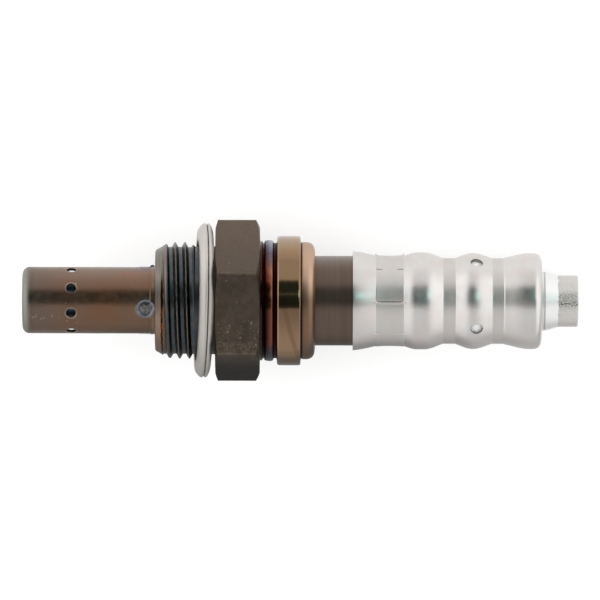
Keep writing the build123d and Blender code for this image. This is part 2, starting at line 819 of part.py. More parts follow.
pieces = {
    "housing": make_housing(),
    "sealing_gasket": make_sealing_gasket(),
    "outer_protector": make_outer_protector(),
    "inner_protector": make_inner_protector(),
    "seat_washer": make_seat_washer(),
    "sensing_element": make_sensing_element(),
    "heater_rod": make_heater_rod(),
    "talc_seal": stack_ring(talc_x, talc_length, element_stem_r + fit_gap),
    "ceramic_sleeve": stack_ring(sleeve_x, sleeve_length, element_stem_r + fit_gap),
    "crimp_ring": stack_ring(crimp_ring_x, crimp_ring_thickness, crimp_ring_inner_r),
    "inner_casing": make_inner_casing(),
    "outer_cover": make_outer_cover(),
    "vent_filter": make_vent_filter(),
    "terminal_insulator": make_terminal_insulator(),
    "insulator_spring": make_insulator_spring(),
    "signal_terminal_inner": make_signal_terminal_inner(0),
    "heater_terminal_a": make_heater_terminal(1),
    "signal_terminal_outer": make_signal_terminal_outer(2),
    "heater_terminal_b": make_heater_terminal(3),
    "lead_grommet": make_lead_grommet(),
    "cable_ferrule": make_cable_ferrule(),
}

os.makedirs("parts", exist_ok=True)
for name, piece in pieces.items():
    piece.label = name
    export_step(piece, f"parts/{name}.step")
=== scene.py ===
import math

import bmesh
import bpy
from mathutils import Matrix, Vector, noise


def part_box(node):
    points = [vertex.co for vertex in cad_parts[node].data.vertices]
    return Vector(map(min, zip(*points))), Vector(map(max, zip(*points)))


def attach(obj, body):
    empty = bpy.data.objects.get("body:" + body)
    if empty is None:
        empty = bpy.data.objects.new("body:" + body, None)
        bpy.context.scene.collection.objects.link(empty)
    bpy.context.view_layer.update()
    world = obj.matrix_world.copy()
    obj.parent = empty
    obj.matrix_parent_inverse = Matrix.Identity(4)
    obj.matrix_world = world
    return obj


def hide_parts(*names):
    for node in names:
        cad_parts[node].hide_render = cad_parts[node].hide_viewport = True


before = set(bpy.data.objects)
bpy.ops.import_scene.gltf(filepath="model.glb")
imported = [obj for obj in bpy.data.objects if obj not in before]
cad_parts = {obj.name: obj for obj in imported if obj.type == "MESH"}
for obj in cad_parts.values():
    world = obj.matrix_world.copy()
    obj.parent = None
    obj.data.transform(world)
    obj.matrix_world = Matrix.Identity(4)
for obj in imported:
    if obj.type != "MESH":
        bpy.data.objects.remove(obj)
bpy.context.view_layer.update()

bl_info = {
    "name": "Oxygen Sensor",
    "version": (1, 0, 0),
    "blender": (4, 5, 0),
    "location": "View3D > Sidebar > Sensor",
    "description": "Builds the looks of an exhaust oxygen sensor round its solid model",
    "category": "Object",
}

# All shapes below are written in millimetres. X runs along the sensor, from the tip to the cable end.
# An angle round the axis is in degrees, counted from +Z towards -Y, as in the solid model.
MM = 0.001

VIEW_LEAN = 10.8
THREAD_START, THREAD_END = -8.7, -2.9
RELIEF_RADIUS = 8.3
HEXAGON_HEIGHT = 6.83
COLLAR_START = 9.47
JAWS, VENTS, WELDS = 8, 4, 4


# Property helpers

def length(name, default, description):
    """A size property. The default is given in millimetres."""
    return bpy.props.FloatProperty(
        name=name, description=description, default=default * MM, unit="LENGTH", precision=5
    )


def turn(name, default, description):
    """An angle property. The default is given in degrees."""
    return bpy.props.FloatProperty(
        name=name, description=description, default=math.radians(default), subtype="ANGLE"
    )


def amount(name, default, description):
    """A plain number from 0 to 1."""
    return bpy.props.FloatProperty(
        name=name, description=description, default=default, min=0.0, max=1.0, subtype="FACTOR"
    )


def linear(red, green, blue):
    """A display colour, each channel 0 to 255, as linear light."""
    channels = [c / 255 for c in (red, green, blue)]
    return tuple(c / 12.92 if c <= 0.04045 else ((c + 0.055) / 1.055) ** 2.4 for c in channels)


def colour(name, rgb, description):
    """A colour property. The default is given as display values, 0 to 255."""
    return bpy.props.FloatVectorProperty(
        name=name, description=description, default=linear(*rgb), subtype="COLOR", min=0, max=1
    )


# Meshes

def limits(node):
    """Lowest and highest corner of a solid node, in millimetres."""
    low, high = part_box(node)
    return low / MM, high / MM


def trail(*stops, step=0.3):
    """Points along straight stretches between stops, no further apart than step."""
    points = [stops[0]]
    for (x0, r0), (x1, r1) in zip(stops, stops[1:]):
        count = max(1, math.ceil(math.hypot(x1 - x0, r1 - r0) / step))
        points += [(x0 + (x1 - x0) * i / count, r0 + (r1 - r0) * i / count) for i in range(1, count + 1)]
    return points


def arc(centre, radius, first, last, count=8):
    """Points on an arc. An angle of 0 points along +X and 90 away from the axis."""
    points = []
    for i in range(count + 1):
        a = math.radians(first + (last - first) * i / count)
        points.append((centre[0] + radius * math.cos(a), centre[1] + radius * math.sin(a)))
    return points


def curve(start, lead, follow, end, count=16):
    """Points along a curve that leaves its start towards lead and reaches its end from follow."""
    points = []
    for i in range(count + 1):
        t = i / count
        weights = ((1 - t) ** 3, 3 * t * (1 - t) ** 2, 3 * t * t * (1 - t), t ** 3)
        points.append(tuple(sum(w * p[k] for w, p in zip(weights, (start, lead, follow, end))) for k in (0, 1)))
    return points


def rounded(stops, radius, step=0.3):
    """A path through the stops with its inner corners rounded."""
    path, parts = [stops[0]], 6
    for before, here, after in zip(stops, stops[1:], stops[2:]):
        a = (Vector(before) - Vector(here)).normalized()
        b = (Vector(after) - Vector(here)).normalized()
        half = a.angle(b) / 2
        back = radius / math.tan(half)
        start, end = Vector(here) + a * back, Vector(here) + b * back
        for i in range(parts + 1):
            t = i / parts
            path.append(tuple(start * (1 - t) ** 2 + Vector(here) * 2 * t * (1 - t) + end * t * t))
    path.append(stops[-1])
    return trail(*path, step=step)


def strip(path, half):
    """The closed outline of a sheet of an even thickness that follows a path."""
    left, right = [], []
    for i, here in enumerate(path):
        along = Vector(path[min(i + 1, len(path) - 1)]) - Vector(path[max(i - 1, 0)])
        side = Vector((-along.y, along.x)).normalized() * half
        left.append(tuple(Vector(here) + side))
        right.append(tuple(Vector(here) - side))
    return left + right[::-1]


def lathe(name, rows, columns=192, start=0.0, push=None):
    """A closed mesh turned about X. A row is (x, radius), or a function of the angle that gives it."""
    vertices, faces = [], []
    for row in rows:
        for j in range(columns):
            degrees = start + 360 * j / columns
            x, r = row(degrees) if callable(row) else row
            if push:
                r += push(x, r, degrees)
            a = math.radians(degrees)
            vertices.append((x * MM, -r * math.sin(a) * MM, r * math.cos(a) * MM))
    for i in range(len(rows)):
        a, b = i * columns, (i + 1) % len(rows) * columns
        faces += [(a + j, a + (j + 1) % columns, b + (j + 1) % columns, b + j) for j in range(columns)]
    return piece(name, vertices, faces)


def piece(name, vertices, faces):
    """A mesh object with its faces turned outwards."""
    mesh = bpy.data.meshes.new(name)
    mesh.from_pydata(vertices, [], faces)
    work = bmesh.new()
    work.from_mesh(mesh)
    bmesh.ops.recalc_face_normals(work, faces=work.faces)
    work.to_mesh(mesh)
    work.free()
    obj = bpy.data.objects.new(name, mesh)
    bpy.context.scene.collection.objects.link(obj)
    return obj


def drill(obj, count, first, x, r, surface, rim):
    """Cuts a ring of round holes with a broken edge. surface is the radius of the outer skin."""
    depth, sides = 2.0, 40
    profile = [(r, surface - depth), (r, surface - 2 * rim), (r + 3 * rim, surface + rim)]
    work = bmesh.new()
    for i in range(count):
        spin = Matrix.Rotation(math.radians(first + 360 / count * i), 4, "X")
        rings = []
        for radius, height in profile:
            ring = []
            for j in range(sides):
                a = math.tau * j / sides
                place = Vector(((x + radius * math.cos(a)) * MM, radius * math.sin(a) * MM, height * MM))
                ring.append(work.verts.new(spin @ place))
            rings.append(ring)
        for low, high in zip(rings, rings[1:]):
            for j in range(sides):
                work.faces.new((low[j], low[(j + 1) % sides], high[(j + 1) % sides], high[j]))
        work.faces.new(rings[0][::-1])
        work.faces.new(rings[-1])
    bmesh.ops.recalc_face_normals(work, faces=work.faces)
    mesh = bpy.data.meshes.new("drill")
    work.to_mesh(mesh)
    work.free()
    cutter = bpy.data.objects.new("drill", mesh)
    bpy.context.scene.collection.objects.link(cutter)
    cut = obj.modifiers.new("holes", "BOOLEAN")
    cut.operation = "DIFFERENCE"
    cut.object = cutter
    cut.solver = "EXACT"
    drilled = bpy.data.meshes.new_from_object(obj.evaluated_get(bpy.context.evaluated_depsgraph_get()))
    obj.modifiers.clear()
    obj.data = drilled
    bpy.data.objects.remove(cutter)


def show(obj, node, looks, crease=28):
    """Finishes a piece: shading, finish, and the solid node that it stands for."""
    for look in looks:
        obj.data.materials.append(look)
    obj.data.shade_smooth()
    obj.data.set_sharp_from_angle(angle=math.radians(crease))
    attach(obj, "root")
    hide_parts(node)


def step_up(value, low, high):
    """0 below low, 1 above high, and smooth between."""
    t = min(1.0, max(0.0, (value - low) / (high - low)))
    return t * t * (3 - 2 * t)


def apart(a, b):
    """The signed difference of two angles, in degrees."""
    return (a - b + 180) % 360 - 180


# Materials

class Look:
    """One procedural metal or plain finish, built from small steps. Places are in millimetres."""

    def __init__(self, name, metal=1.0):
        self.material = bpy.data.materials.new(name)
        self.material.use_nodes = True
        self.tree = self.material.node_tree
        self.shader = self.tree.nodes["Principled BSDF"]
        self.shader.inputs["Metallic"].default_value = metal
        place = self.add("ShaderNodeVectorMath", operation="SCALE")
        place.inputs["Scale"].default_value = 1 / MM
        self.link(self.add("ShaderNodeTexCoord").outputs["Object"], place.inputs[0])
        self.place = place.outputs[0]
        parts = self.add("ShaderNodeSeparateXYZ")
        self.link(self.place, parts.inputs[0])
        self.x, self.y, self.z = parts.outputs
        around = self.math("ARCTAN2", self.math("MULTIPLY", self.y, -1.0), self.z)
        self.angle = self.math("MULTIPLY", around, 180 / math.pi)
        across = self.math("MULTIPLY", self.y, self.y)
        self.radius = self.math("SQRT", self.math("MULTIPLY_ADD", self.z, self.z, across))

    def add(self, kind, **settings):
        node = self.tree.nodes.new(kind)
        for key, value in settings.items():
            setattr(node, key, value)
        return node

    def link(self, value, socket):
        if isinstance(value, bpy.types.NodeSocket):
            self.tree.links.new(value, socket)
        elif socket.type == "RGBA":
            socket.default_value = (*value[:3], 1.0)
        else:
            socket.default_value = value

    def math(self, operation, *values):
        node = self.add("ShaderNodeMath", operation=operation)
        for value, socket in zip(values, node.inputs):
            self.link(value, socket)
        return node.outputs[0]

    def times(self, a, b):
        return self.math("MULTIPLY", a, b)

    def rise(self, value, low, high, bottom=0.0, top=1.0):
        """Smooth from bottom to top while the value goes from low to high."""
        node = self.add("ShaderNodeMapRange", interpolation_type="SMOOTHSTEP")
        for item, socket in zip((value, low, high, bottom, top), node.inputs):
            self.link(item, socket)
        return node.outputs[0]

    def band(self, value, low, high, soft):
        """1 between two limits, 0 outside, with soft edges."""
        up = self.rise(value, low - soft, low + soft)
        down = self.rise(value, high - soft, high + soft, 1.0, 0.0)
        return self.times(up, down)

    def noise(self, scale, stretch=(1, 1, 1), detail=3.0, rough=0.55, vector=None, shift=0.0):
        """Noise of a scale given per millimetre, finer where stretch is larger."""
        mapping = self.add("ShaderNodeMapping")
        mapping.inputs["Scale"].default_value = stretch
        mapping.inputs["Location"].default_value = (shift, shift, shift)
        self.link(vector or self.place, mapping.inputs["Vector"])
        node = self.add("ShaderNodeTexNoise")
        self.link(mapping.outputs[0], node.inputs["Vector"])
        node.inputs["Scale"].default_value = scale
        node.inputs["Detail"].default_value = detail
        node.inputs["Roughness"].default_value = rough
        return node.outputs[0]

    def wrapped(self):
        """Places unrolled from the surface: along the axis, and round it in millimetres."""
        node = self.add("ShaderNodeCombineXYZ")
        turned = self.math("MULTIPLY", self.angle, math.pi / 180)
        self.link(self.x, node.inputs[0])
        self.link(self.math("MULTIPLY", turned, self.radius), node.inputs[1])
        return node.outputs[0]

    def lines(self, scale, shift=0.0):
        """Fine turning or drawing lines that run round the axis."""
        return self.noise(scale, (1, 0.03, 1), 4.0, 0.7, self.wrapped(), shift)

    def specks(self, scale, size, shift=0.0):
        """Small round specks, 1 inside."""
        node = self.add("ShaderNodeTexVoronoi", feature="F1")
        mapping = self.add("ShaderNodeMapping")
        mapping.inputs["Location"].default_value = (shift, shift, 0)
        self.link(self.wrapped(), mapping.inputs["Vector"])
        self.link(mapping.outputs[0], node.inputs["Vector"])
        node.inputs["Scale"].default_value = scale
        return self.rise(node.outputs["Distance"], size * 0.6, size, 1.0, 0.0)

    def mix(self, factor, a, b):
        node = self.add("ShaderNodeMix", data_type="RGBA")
        self.link(factor, node.inputs["Factor"])
        self.link(a, node.inputs[6])
        self.link(b, node.inputs[7])
        return node.outputs[2]

    def tint(self, base, mask, rgb, share=1.0):
        """Lays a display colour over the base where the mask is 1, up to a share."""
        return self.mix(mask if share == 1.0 else self.times(mask, share), base, linear(*rgb))

    def vary(self, base, factor, low, high):
        """A colour made darker or lighter: times low where the factor is 0, times high where it is 1."""
        node = self.add("ShaderNodeMix", data_type="RGBA", blend_type="MULTIPLY")
        node.inputs["Factor"].default_value = 1.0
        self.link(base, node.inputs[6])
        self.link(self.mix(factor, (low,) * 3, (high,) * 3), node.inputs[7])
        return node.outputs[2]

    def ramp(self, value, stops):
        """Colours along a value from 0 to 1: a list of (place, colour)."""
        node = self.add("ShaderNodeValToRGB")
        points = node.color_ramp.elements
        while len(points) < len(stops):
            points.new(0.5)
        for point, (place, rgb) in zip(points, stops):
            point.position = place
            point.color = (*rgb, 1.0)
        self.link(value, node.inputs[0])
        return node.outputs[0]

    def slope(self):
        """How far the surface faces the cable end: -1 to 1."""
        parts = self.add("ShaderNodeSeparateXYZ")
        self.link(self.add("ShaderNodeTexCoord").outputs["Normal"], parts.inputs[0])
        return parts.outputs[0]

    def finish(self, base, rough, bump=None, depth=0.02):
        """Connects the colour, the roughness and a relief whose depth is in millimetres."""
        self.link(base, self.shader.inputs["Base Color"])
        self.link(rough, self.shader.inputs["Roughness"])
        if bump is not None:
            node = self.add("ShaderNodeBump")
            node.inputs["Strength"].default_value = 1.0
            node.inputs["Distance"].default_value = depth * MM
            self.link(bump, node.inputs["Height"])
            self.link(node.outputs[0], self.shader.inputs["Normal"])
        return self.material


def protector_look(settings):
    """Heat-tinted bronze brown steel with a grey tip and pale dust, with a painted lighter top, painted highlights
    round the gas holes and painted shade low near the foot.
    """
    look = Look("protector_steel")
    cloud = look.noise(0.16, detail=3.0)
    base = look.mix(look.rise(cloud, 0.35, 0.65), settings.brown, settings.red_brown)
    # Painted light: the upper side is lighter.
    upper = look.rise(look.angle, -75.0, -25.0, 0.35, 0.0)
    base = look.tint(base, upper, (150, 132, 124))
    base = look.tint(base, look.rise(look.x, -28.0, -20.0, 0.6, 0.0), (106, 95, 88))
    base = look.tint(base, look.rise(look.x, -28.7, -27.6, 0.5, 0.0), (84, 84, 78))
    base = look.mix(look.rise(look.x, -29.3, -28.2, 1.0, 0.0), base, settings.tip_grey)
    warm = look.times(look.band(look.x, -14.2, -10.2, 0.8), look.rise(look.noise(0.5, shift=4.0), 0.45, 0.65))
    base = look.tint(base, warm, (146, 92, 80), 0.35)
    # Painted shade: darker and less red on the lower side near the foot.
    below = look.times(look.rise(look.x, -14.95, -14.75), look.rise(look.angle, -5.0, 10.0))
    base = look.tint(base, below, (104, 92, 80), 0.4)
    base = look.tint(base, look.rise(look.x, -9.8, -9.7, 0.0, 0.45), (150, 124, 100))
    low, _ = limits("outer_protector")
    rim = ring_distance(look, low.x + settings.hole_from_end / MM, settings.hole_turn,
                        settings.holes, settings)
    # Painted highlight: a lighter ring on each gas hole's broken edge.
    rim = look.band(rim, settings.hole / MM, settings.hole / MM + 0.2, 0.05)
    base = look.tint(base, rim, (168, 158, 148), 0.45)
    far = ring_distance(look, settings.weld_x / MM, settings.weld_turn, WELDS, settings)
    wander = look.math("SUBTRACT", look.noise(1.1, detail=2.0, shift=11.0), 0.5)
    far = look.math("MULTIPLY_ADD", wander, 0.5, far)
    shown = look.rise(look.angle, -74.0, -56.0, 0.3, 1.0)
    base = look.tint(base, look.times(look.rise(far, 1.4, 1.85, 0.6, 0.0), shown), (110, 116, 126))
    uneven = look.rise(look.noise(1.6, detail=2.0, shift=13.0), 0.35, 0.6, 0.2, 0.8)
    base = look.tint(base, look.times(look.times(look.band(far, 1.08, 1.36, 0.16), uneven), shown),
                     (140, 144, 148))
    base = look.tint(base, look.times(look.rise(far, 0.95, 1.15, 0.85, 0.0), shown), (78, 82, 88))
    spots = look.rise(look.noise(3.2, detail=4.0, rough=0.7, shift=1.0), 0.42, 0.62)
    base = look.tint(base, look.times(look.times(look.rise(far, 0.7, 0.95, 0.7, 0.0), spots), shown),
                     (144, 134, 126))
    beside = look.math("SUBTRACT", look.angle, math.degrees(settings.spatter_turn))
    drop = mark_distance(look, settings.spatter_x / MM, beside, settings)
    base = look.tint(base, look.rise(drop, 0.35, 0.55, 0.95, 0.0), (40, 38, 36))
    streaks = look.lines(11.0)
    base = look.vary(base, streaks, 0.88, 1.1)
    dust = look.times(look.specks(2.6, 0.2), look.rise(look.noise(0.9, shift=9.0), 0.46, 0.5))
    tail = look.times(look.band(look.x, -28.4, -24.0, 0.3), look.band(look.angle, 13.0, 27.0, 3.0))
    spray = look.times(look.band(look.x, -23.2, -21.0, 0.3), look.band(look.angle, -48.0, 44.0, 3.0))
    where = look.math("MAXIMUM", tail, look.times(spray, look.rise(look.noise(0.8, shift=3.0), 0.5, 0.55)))
    base = look.tint(base, look.times(dust, look.times(where, 0.85)), (228, 212, 196))
    rough = look.math("MAXIMUM", look.rise(look.noise(1.2, shift=2.0), 0.3, 0.7, 0.28, 0.37),
                      look.rise(look.x, -28.8, -28.2, 0.5, 0.0))
    grain = look.math("MULTIPLY_ADD", look.noise(14.0), 0.5, streaks)
    return look.finish(base, rough, grain, 0.006)


def mark_distance(look, x, turned, settings):
    """Distance on the tube to a mark at x that lies some degrees away, in millimetres."""
    side = look.times(turned, settings.arc_per_degree)
    fore = look.math("SUBTRACT", look.x, x)
    return look.math("SQRT", look.math("MULTIPLY_ADD", fore, fore, look.times(side, side)))


def ring_distance(look, x, first, count, settings):
    """Distance on the tube to the nearest mark of an even ring of marks, in millimetres."""
    turned = look.math("SUBTRACT", look.angle, math.degrees(first))
    return mark_distance(look, x, look.math("PINGPONG", turned, 180 / count), settings)


def thread_look(settings):
    """The darkened thread with browned crests, painted shade towards its lower side and on the flanks that face
    the cable end, and the browned pilot.
    """
    look = Look("thread_steel")
    cloud = look.noise(0.8, detail=4.0)
    root = look.mix(look.rise(cloud, 0.35, 0.65), settings.root, settings.root_blue)
    # Painted shade: darker towards the bottom, and near-black on the flanks that face the cable end.
    under = look.rise(look.angle, -60.0, 30.0, 0.0, 0.38)
    root = look.tint(root, under, (44, 48, 50))
    faces_rear = look.rise(look.slope(), -0.1, 0.35)
    root = look.tint(root, faces_rear, (16, 17, 17), 0.9)
    base = look.mix(look.rise(look.radius, 8.84, 8.97), root, settings.crest)
    front = look.rise(look.x, -7.62, -7.42, 1.0, 0.0)
    pilot = look.mix(look.band(look.x, -8.15, -7.55, 0.1), settings.pilot, linear(124, 110, 104))
    pilot = look.tint(pilot, look.rise(look.lines(2.2, 8.0), 0.45, 0.7, 0.0, 0.6), (92, 90, 84))
    base = look.mix(front, base, pilot)
    soot = look.times(front, look.rise(look.x, -8.3, -7.9, 1.0, 0.4))
    soot = look.times(soot, look.band(look.angle, -28.0, 4.0, 12.0))
    base = look.tint(base, soot, (58, 55, 52), 0.8)
    low = look.rise(look.angle, -30.0, 25.0)
    warm = look.mix(look.rise(look.x, -8.5, -8.1), linear(122, 98, 82), linear(84, 64, 54))
    base = look.mix(look.times(look.times(front, low), 0.75), base, warm)
    wavy = look.math("MULTIPLY_ADD", look.noise(1.1, shift=6.0), 0.5, -8.42)
    crack = look.math("SUBTRACT", look.x, wavy)
    run = look.band(look.angle, -36.0, 62.0, 10.0)
    base = look.tint(base, look.times(look.band(crack, 0.12, 0.34, 0.1), look.times(run, 0.7)),
                     (130, 96, 60))
    base = look.tint(base, look.times(look.band(crack, -0.14, 0.14, 0.08), look.times(run, 0.95)),
                     (20, 17, 14))
    rust = look.times(look.rise(look.noise(1.6, shift=5.0), 0.5, 0.62), look.band(look.x, -8.5, -7.6, 0.2))
    rust = look.times(rust, look.band(look.angle, 0.0, 24.0, 8.0))
    base = look.tint(base, rust, (128, 74, 50), 0.6)
    streaks = look.lines(12.0)
    base = look.vary(base, streaks, 0.75, 1.2)
    return look.finish(base, look.rise(cloud, 0.3, 0.7, 0.28, 0.42), streaks, 0.01)


def hexagon_look(settings):
    """The matte grey-brown hexagon with a fine grain, worn edges, nicks and scratches, a painted lighter upper
    flat, painted shade on the lower flat and a painted highlight along a worn corner.
    """
    look = Look("hexagon_steel")
    cloud = look.noise(0.5, detail=5.0, rough=0.65)
    grain = look.noise(9.0, detail=3.0, rough=0.7)
    plain = look.mix(look.rise(cloud, 0.3, 0.7), settings.hexagon_dark, settings.hexagon)
    # Painted light: the upper flat is lighter.
    upper = look.tint(plain, look.rise(look.angle, -95.0, -28.0, 0.75, 0.45), (112, 98, 88))
    base = look.mix(look.rise(look.angle, -32.0, -28.0), upper, plain)
    # Painted shade: the lower flat turns near-black.
    base = look.tint(base, look.rise(look.angle, 27.0, 62.0, 0.0, 0.68), (22, 25, 27))
    base = look.vary(base, look.rise(grain, 0.3, 0.7), 0.75, 1.25)
    wander = look.math("MULTIPLY_ADD", look.noise(1.2, shift=2.0), 0.25, look.radius)
    worn = look.rise(wander, 12.62, 12.75)
    base = look.tint(base, worn, (128, 114, 100), 0.45)
    # Partly wear, partly painted highlight: a lighter worn line beside the lower corner.
    scuff_and_highlight = look.rise(look.noise(1.4, detail=5.0, shift=12.0), 0.42, 0.56)
    scuff_and_highlight = look.times(scuff_and_highlight, look.band(look.angle, 22.0, 29.5, 1.5))
    base = look.tint(base, scuff_and_highlight, (132, 120, 106), 0.22)
    patch = look.times(look.band(look.angle, 6.0, 26.0, 4.0), look.rise(look.noise(0.55, shift=3.0), 0.4, 0.5))
    fine = look.rise(look.noise(2.6, (1, 1, 1), 6.0, 0.85, shift=7.0), 0.57, 0.62)
    base = look.tint(base, look.times(fine, patch), (190, 174, 158), 0.7)
    nick = look.times(look.specks(0.9, 0.1, 3.0), look.rise(look.noise(0.6, shift=8.0), 0.5, 0.55))
    base = look.tint(base, nick, (160, 146, 130), 0.5)
    rough = look.rise(cloud, 0.3, 0.7, 0.5, 0.62)
    return look.finish(base, rough, look.math("MULTIPLY_ADD", cloud, 1.5, grain), 0.03)


def neck_look(settings):
    """The buckled neck, tinted by the heat of closing: blue, violet, copper and maroon, with a painted reflection
    of the dark card on the bead and painted shade in the grooves.
    """
    look = Look("neck_steel")
    wander = look.math("MULTIPLY_ADD", look.noise(0.9, (1, 0.4, 0.4)), 18.0, -9.0)
    swung = look.math("ADD", look.angle, wander)
    share = look.math("MULTIPLY_ADD", swung, 1 / 180, 0.5)
    # The bands round the axis are heat tint with painted light laid in: the near-black band where the bead faces
    # the camera is a painted reflection of the dark card.
    rear = look.ramp(share, [
        (0.08, linear(126, 134, 146)),
        (0.16, linear(94, 90, 106)),
        (0.22, linear(112, 90, 90)),
        (0.27, linear(142, 102, 86)),
        (0.32, linear(132, 82, 62)),
        (0.49, linear(104, 64, 52)),
        (0.68, linear(112, 68, 58)),
        (0.74, linear(82, 66, 70)),
        (0.84, linear(78, 80, 90)),
    ])
    front = look.ramp(share, [
        (0.08, linear(84, 76, 82)),
        (0.16, linear(76, 54, 52)),
        (0.26, linear(112, 60, 40)),
        (0.32, linear(92, 42, 30)),
        (0.49, linear(54, 28, 22)),
        (0.68, linear(58, 30, 26)),
        (0.75, linear(42, 30, 32)),
        (0.84, linear(66, 66, 72)),
    ])
    bead = look.mix(look.rise(look.x, 7.9, 8.55), front, rear)
    # Painted shade: the grooves on both sides of the bead are near-black red, with redder streaks in the rear
    # groove.
    red = look.times(look.rise(look.noise(2.2, shift=14.0), 0.42, 0.6), look.rise(look.x, 9.25, 9.1))
    red = look.times(red, look.rise(look.angle, -35.0, 0.0, 1.0, 0.3))
    deep = look.mix(look.times(red, 0.5), linear(34, 8, 5), linear(86, 26, 16))
    base = look.mix(look.band(look.x, 7.56, 8.93, 0.06), deep, bead)
    face = look.rise(look.x, 7.05, 7.3, 0.8, 0.0)
    base = look.tint(base, face, (66, 50, 44))
    streaks = look.lines(10.0)
    base = look.vary(base, streaks, 0.8, 1.15)
    rough = look.math("MAXIMUM", look.rise(look.noise(2.0), 0.3, 0.7, 0.16, 0.28),
                      look.rise(look.x, 8.93, 9.0, 0.0, 0.5))
    return look.finish(base, rough, streaks, 0.01)


def collar_look(settings):
    """The polished bronze-tan collar and the copper lip, with painted light and shade: lighter tops, darker lower
    parts, painted highlights on the collar's edges and painted shade in the groove before the lip.
    """
    look = Look("collar_steel")
    cloud = look.noise(0.4, detail=3.0)
    base = look.mix(look.rise(cloud, 0.35, 0.65), settings.collar, settings.collar_gold)
    # Painted light and shade: lighter pinkish tan at the top, darker from the middle down, darkest just below the
    # middle, and darker again at the bottom.
    base = look.tint(base, look.rise(look.angle, -95.0, -50.0, 0.7, 0.0), (162, 144, 129))
    base = look.tint(base, look.rise(look.angle, -72.0, -50.0), (132, 106, 82), 0.8)
    lower = look.rise(look.angle, -20.0, -8.0)
    dim = look.mix(look.rise(look.angle, -4.0, 30.0), linear(112, 90, 70), linear(150, 122, 98))
    base = look.mix(look.times(lower, 0.9), base, dim)
    base = look.tint(base, look.rise(look.angle, 38.0, 62.0, 0.0, 0.45), (96, 86, 74))
    # Painted highlight on the collar's front edge.
    edge = look.rise(look.x, 9.62, 9.9, 0.15, 0.0)
    base = look.tint(base, edge, (196, 178, 158))
    slant, offset = 24.4, -255.0
    reach = look.math("MULTIPLY_ADD", look.x, slant, offset)
    streak = look.band(look.math("SUBTRACT", look.angle, reach), -18.0, 0.0, 2.0)
    base = look.tint(base, look.times(streak, lower), (96, 74, 52), 0.35)
    lip = look.rise(look.x, 13.0, 13.2)
    # Painted light and shade: the lip's copper is lighter at the top and darker from the middle down and at the
    # bottom.
    copper = look.mix(look.rise(look.angle, -34.0, -8.0), settings.lip, linear(122, 97, 79))
    copper = look.tint(copper, look.rise(look.angle, 20.0, 50.0, 0.0, 0.6), (98, 86, 76))
    copper = look.tint(copper, look.rise(look.angle, -90.0, -60.0, 0.5, 0.0), (168, 142, 124))
    base = look.mix(lip, base, copper)
    # Painted highlight on the collar's rear corner.
    base = look.tint(base, look.band(look.x, 12.95, 13.08, 0.05), (176, 162, 148), 0.3)
    # Painted shade in the groove before the lip.
    base = look.tint(base, look.band(look.x, 13.14, 13.26, 0.04), (60, 48, 40))
    streaks = look.lines(14.0)
    base = look.vary(base, streaks, 0.9, 1.08)
    rough = look.rise(look.x, 13.0, 13.3, settings.collar_rough, 0.42)
    return look.finish(base, rough, streaks, 0.004)


def gasket_look(settings):
    """Satin light warm grey sheet, with painted shade from the middle down."""
    look = Look("gasket_steel")
    cloud = look.noise(0.5, detail=4.0)
    base = look.mix(look.rise(cloud, 0.3, 0.7), settings.grey, settings.warm)
    grain = look.noise(16.0, detail=3.0)
    base = look.vary(base, grain, 0.9, 1.1)
    # Painted shade: darker from just above the middle down to the lower side.
    under = look.times(look.rise(look.angle, -45.0, -15.0), look.rise(look.angle, 55.0, 75.0, 1.0, 0.0))
    base = look.tint(base, under, (168, 165, 160), 0.5)
    return look.finish(base, look.rise(cloud, 0.3, 0.7, 0.5, 0.6), grain, 0.006)


def casing_look(settings):
    """Dark brown-grey drawn tube with fine lines round it, and a painted lighter top."""
    look = Look("casing_steel")
    fine = look.lines(12.0)
    broad = look.lines(1.2, 4.0)
    base = look.mix(look.rise(broad, 0.3, 0.7), settings.casing, settings.casing_grey)
    # Painted light: lighter towards the top.
    base = look.tint(base, look.rise(look.angle, -90.0, -50.0, 0.6, 0.0), (140, 130, 124))
    base = look.vary(base, fine, 0.88, 1.12)
    return look.finish(base, look.rise(fine, 0.3, 0.7, 0.3, 0.4), fine, 0.005)


def cover_look(settings):
    """Bright satin steel, brushed round the grooves, with painted shade in the pinch lines and round the vents."""
    look = Look("cover_steel")
    cloud = look.noise(0.5, detail=4.0)
    base = look.mix(look.rise(cloud, 0.3, 0.7), settings.silver, settings.silver_warm)
    fine = look.lines(7.0)
    grooves = groove_mask(look, settings)
    base = look.tint(base, grooves, (186, 182, 177), 0.3)
    base = look.vary(base, fine, 0.95, 1.04)
    # Painted shade: dark lines in the creases of the pinch lines.
    base = look.tint(base, pinch_mask(look, settings), (74, 72, 68), 0.85)
    # Painted shade: the vents' walls and a thin ring round each are darkened.
    vent = ring_distance(look, settings.vent_x / MM, settings.vent_turn, VENTS, settings)
    vent = look.rise(vent, settings.vent / MM + 0.02, settings.vent / MM + 0.08, 1.0, 0.0)
    base = look.tint(base, vent, (84, 82, 79), 0.8)
    brushed = look.math("MULTIPLY_ADD", grooves, 1.6, 0.4)
    height = look.math("MULTIPLY_ADD", fine, brushed, look.noise(2.0, detail=2.0))
    rough = look.math("ADD", look.rise(cloud, 0.3, 0.7, settings.shine, settings.shine + 0.06),
                      look.times(grooves, 0.1))
    return look.finish(base, rough, height, 0.005)


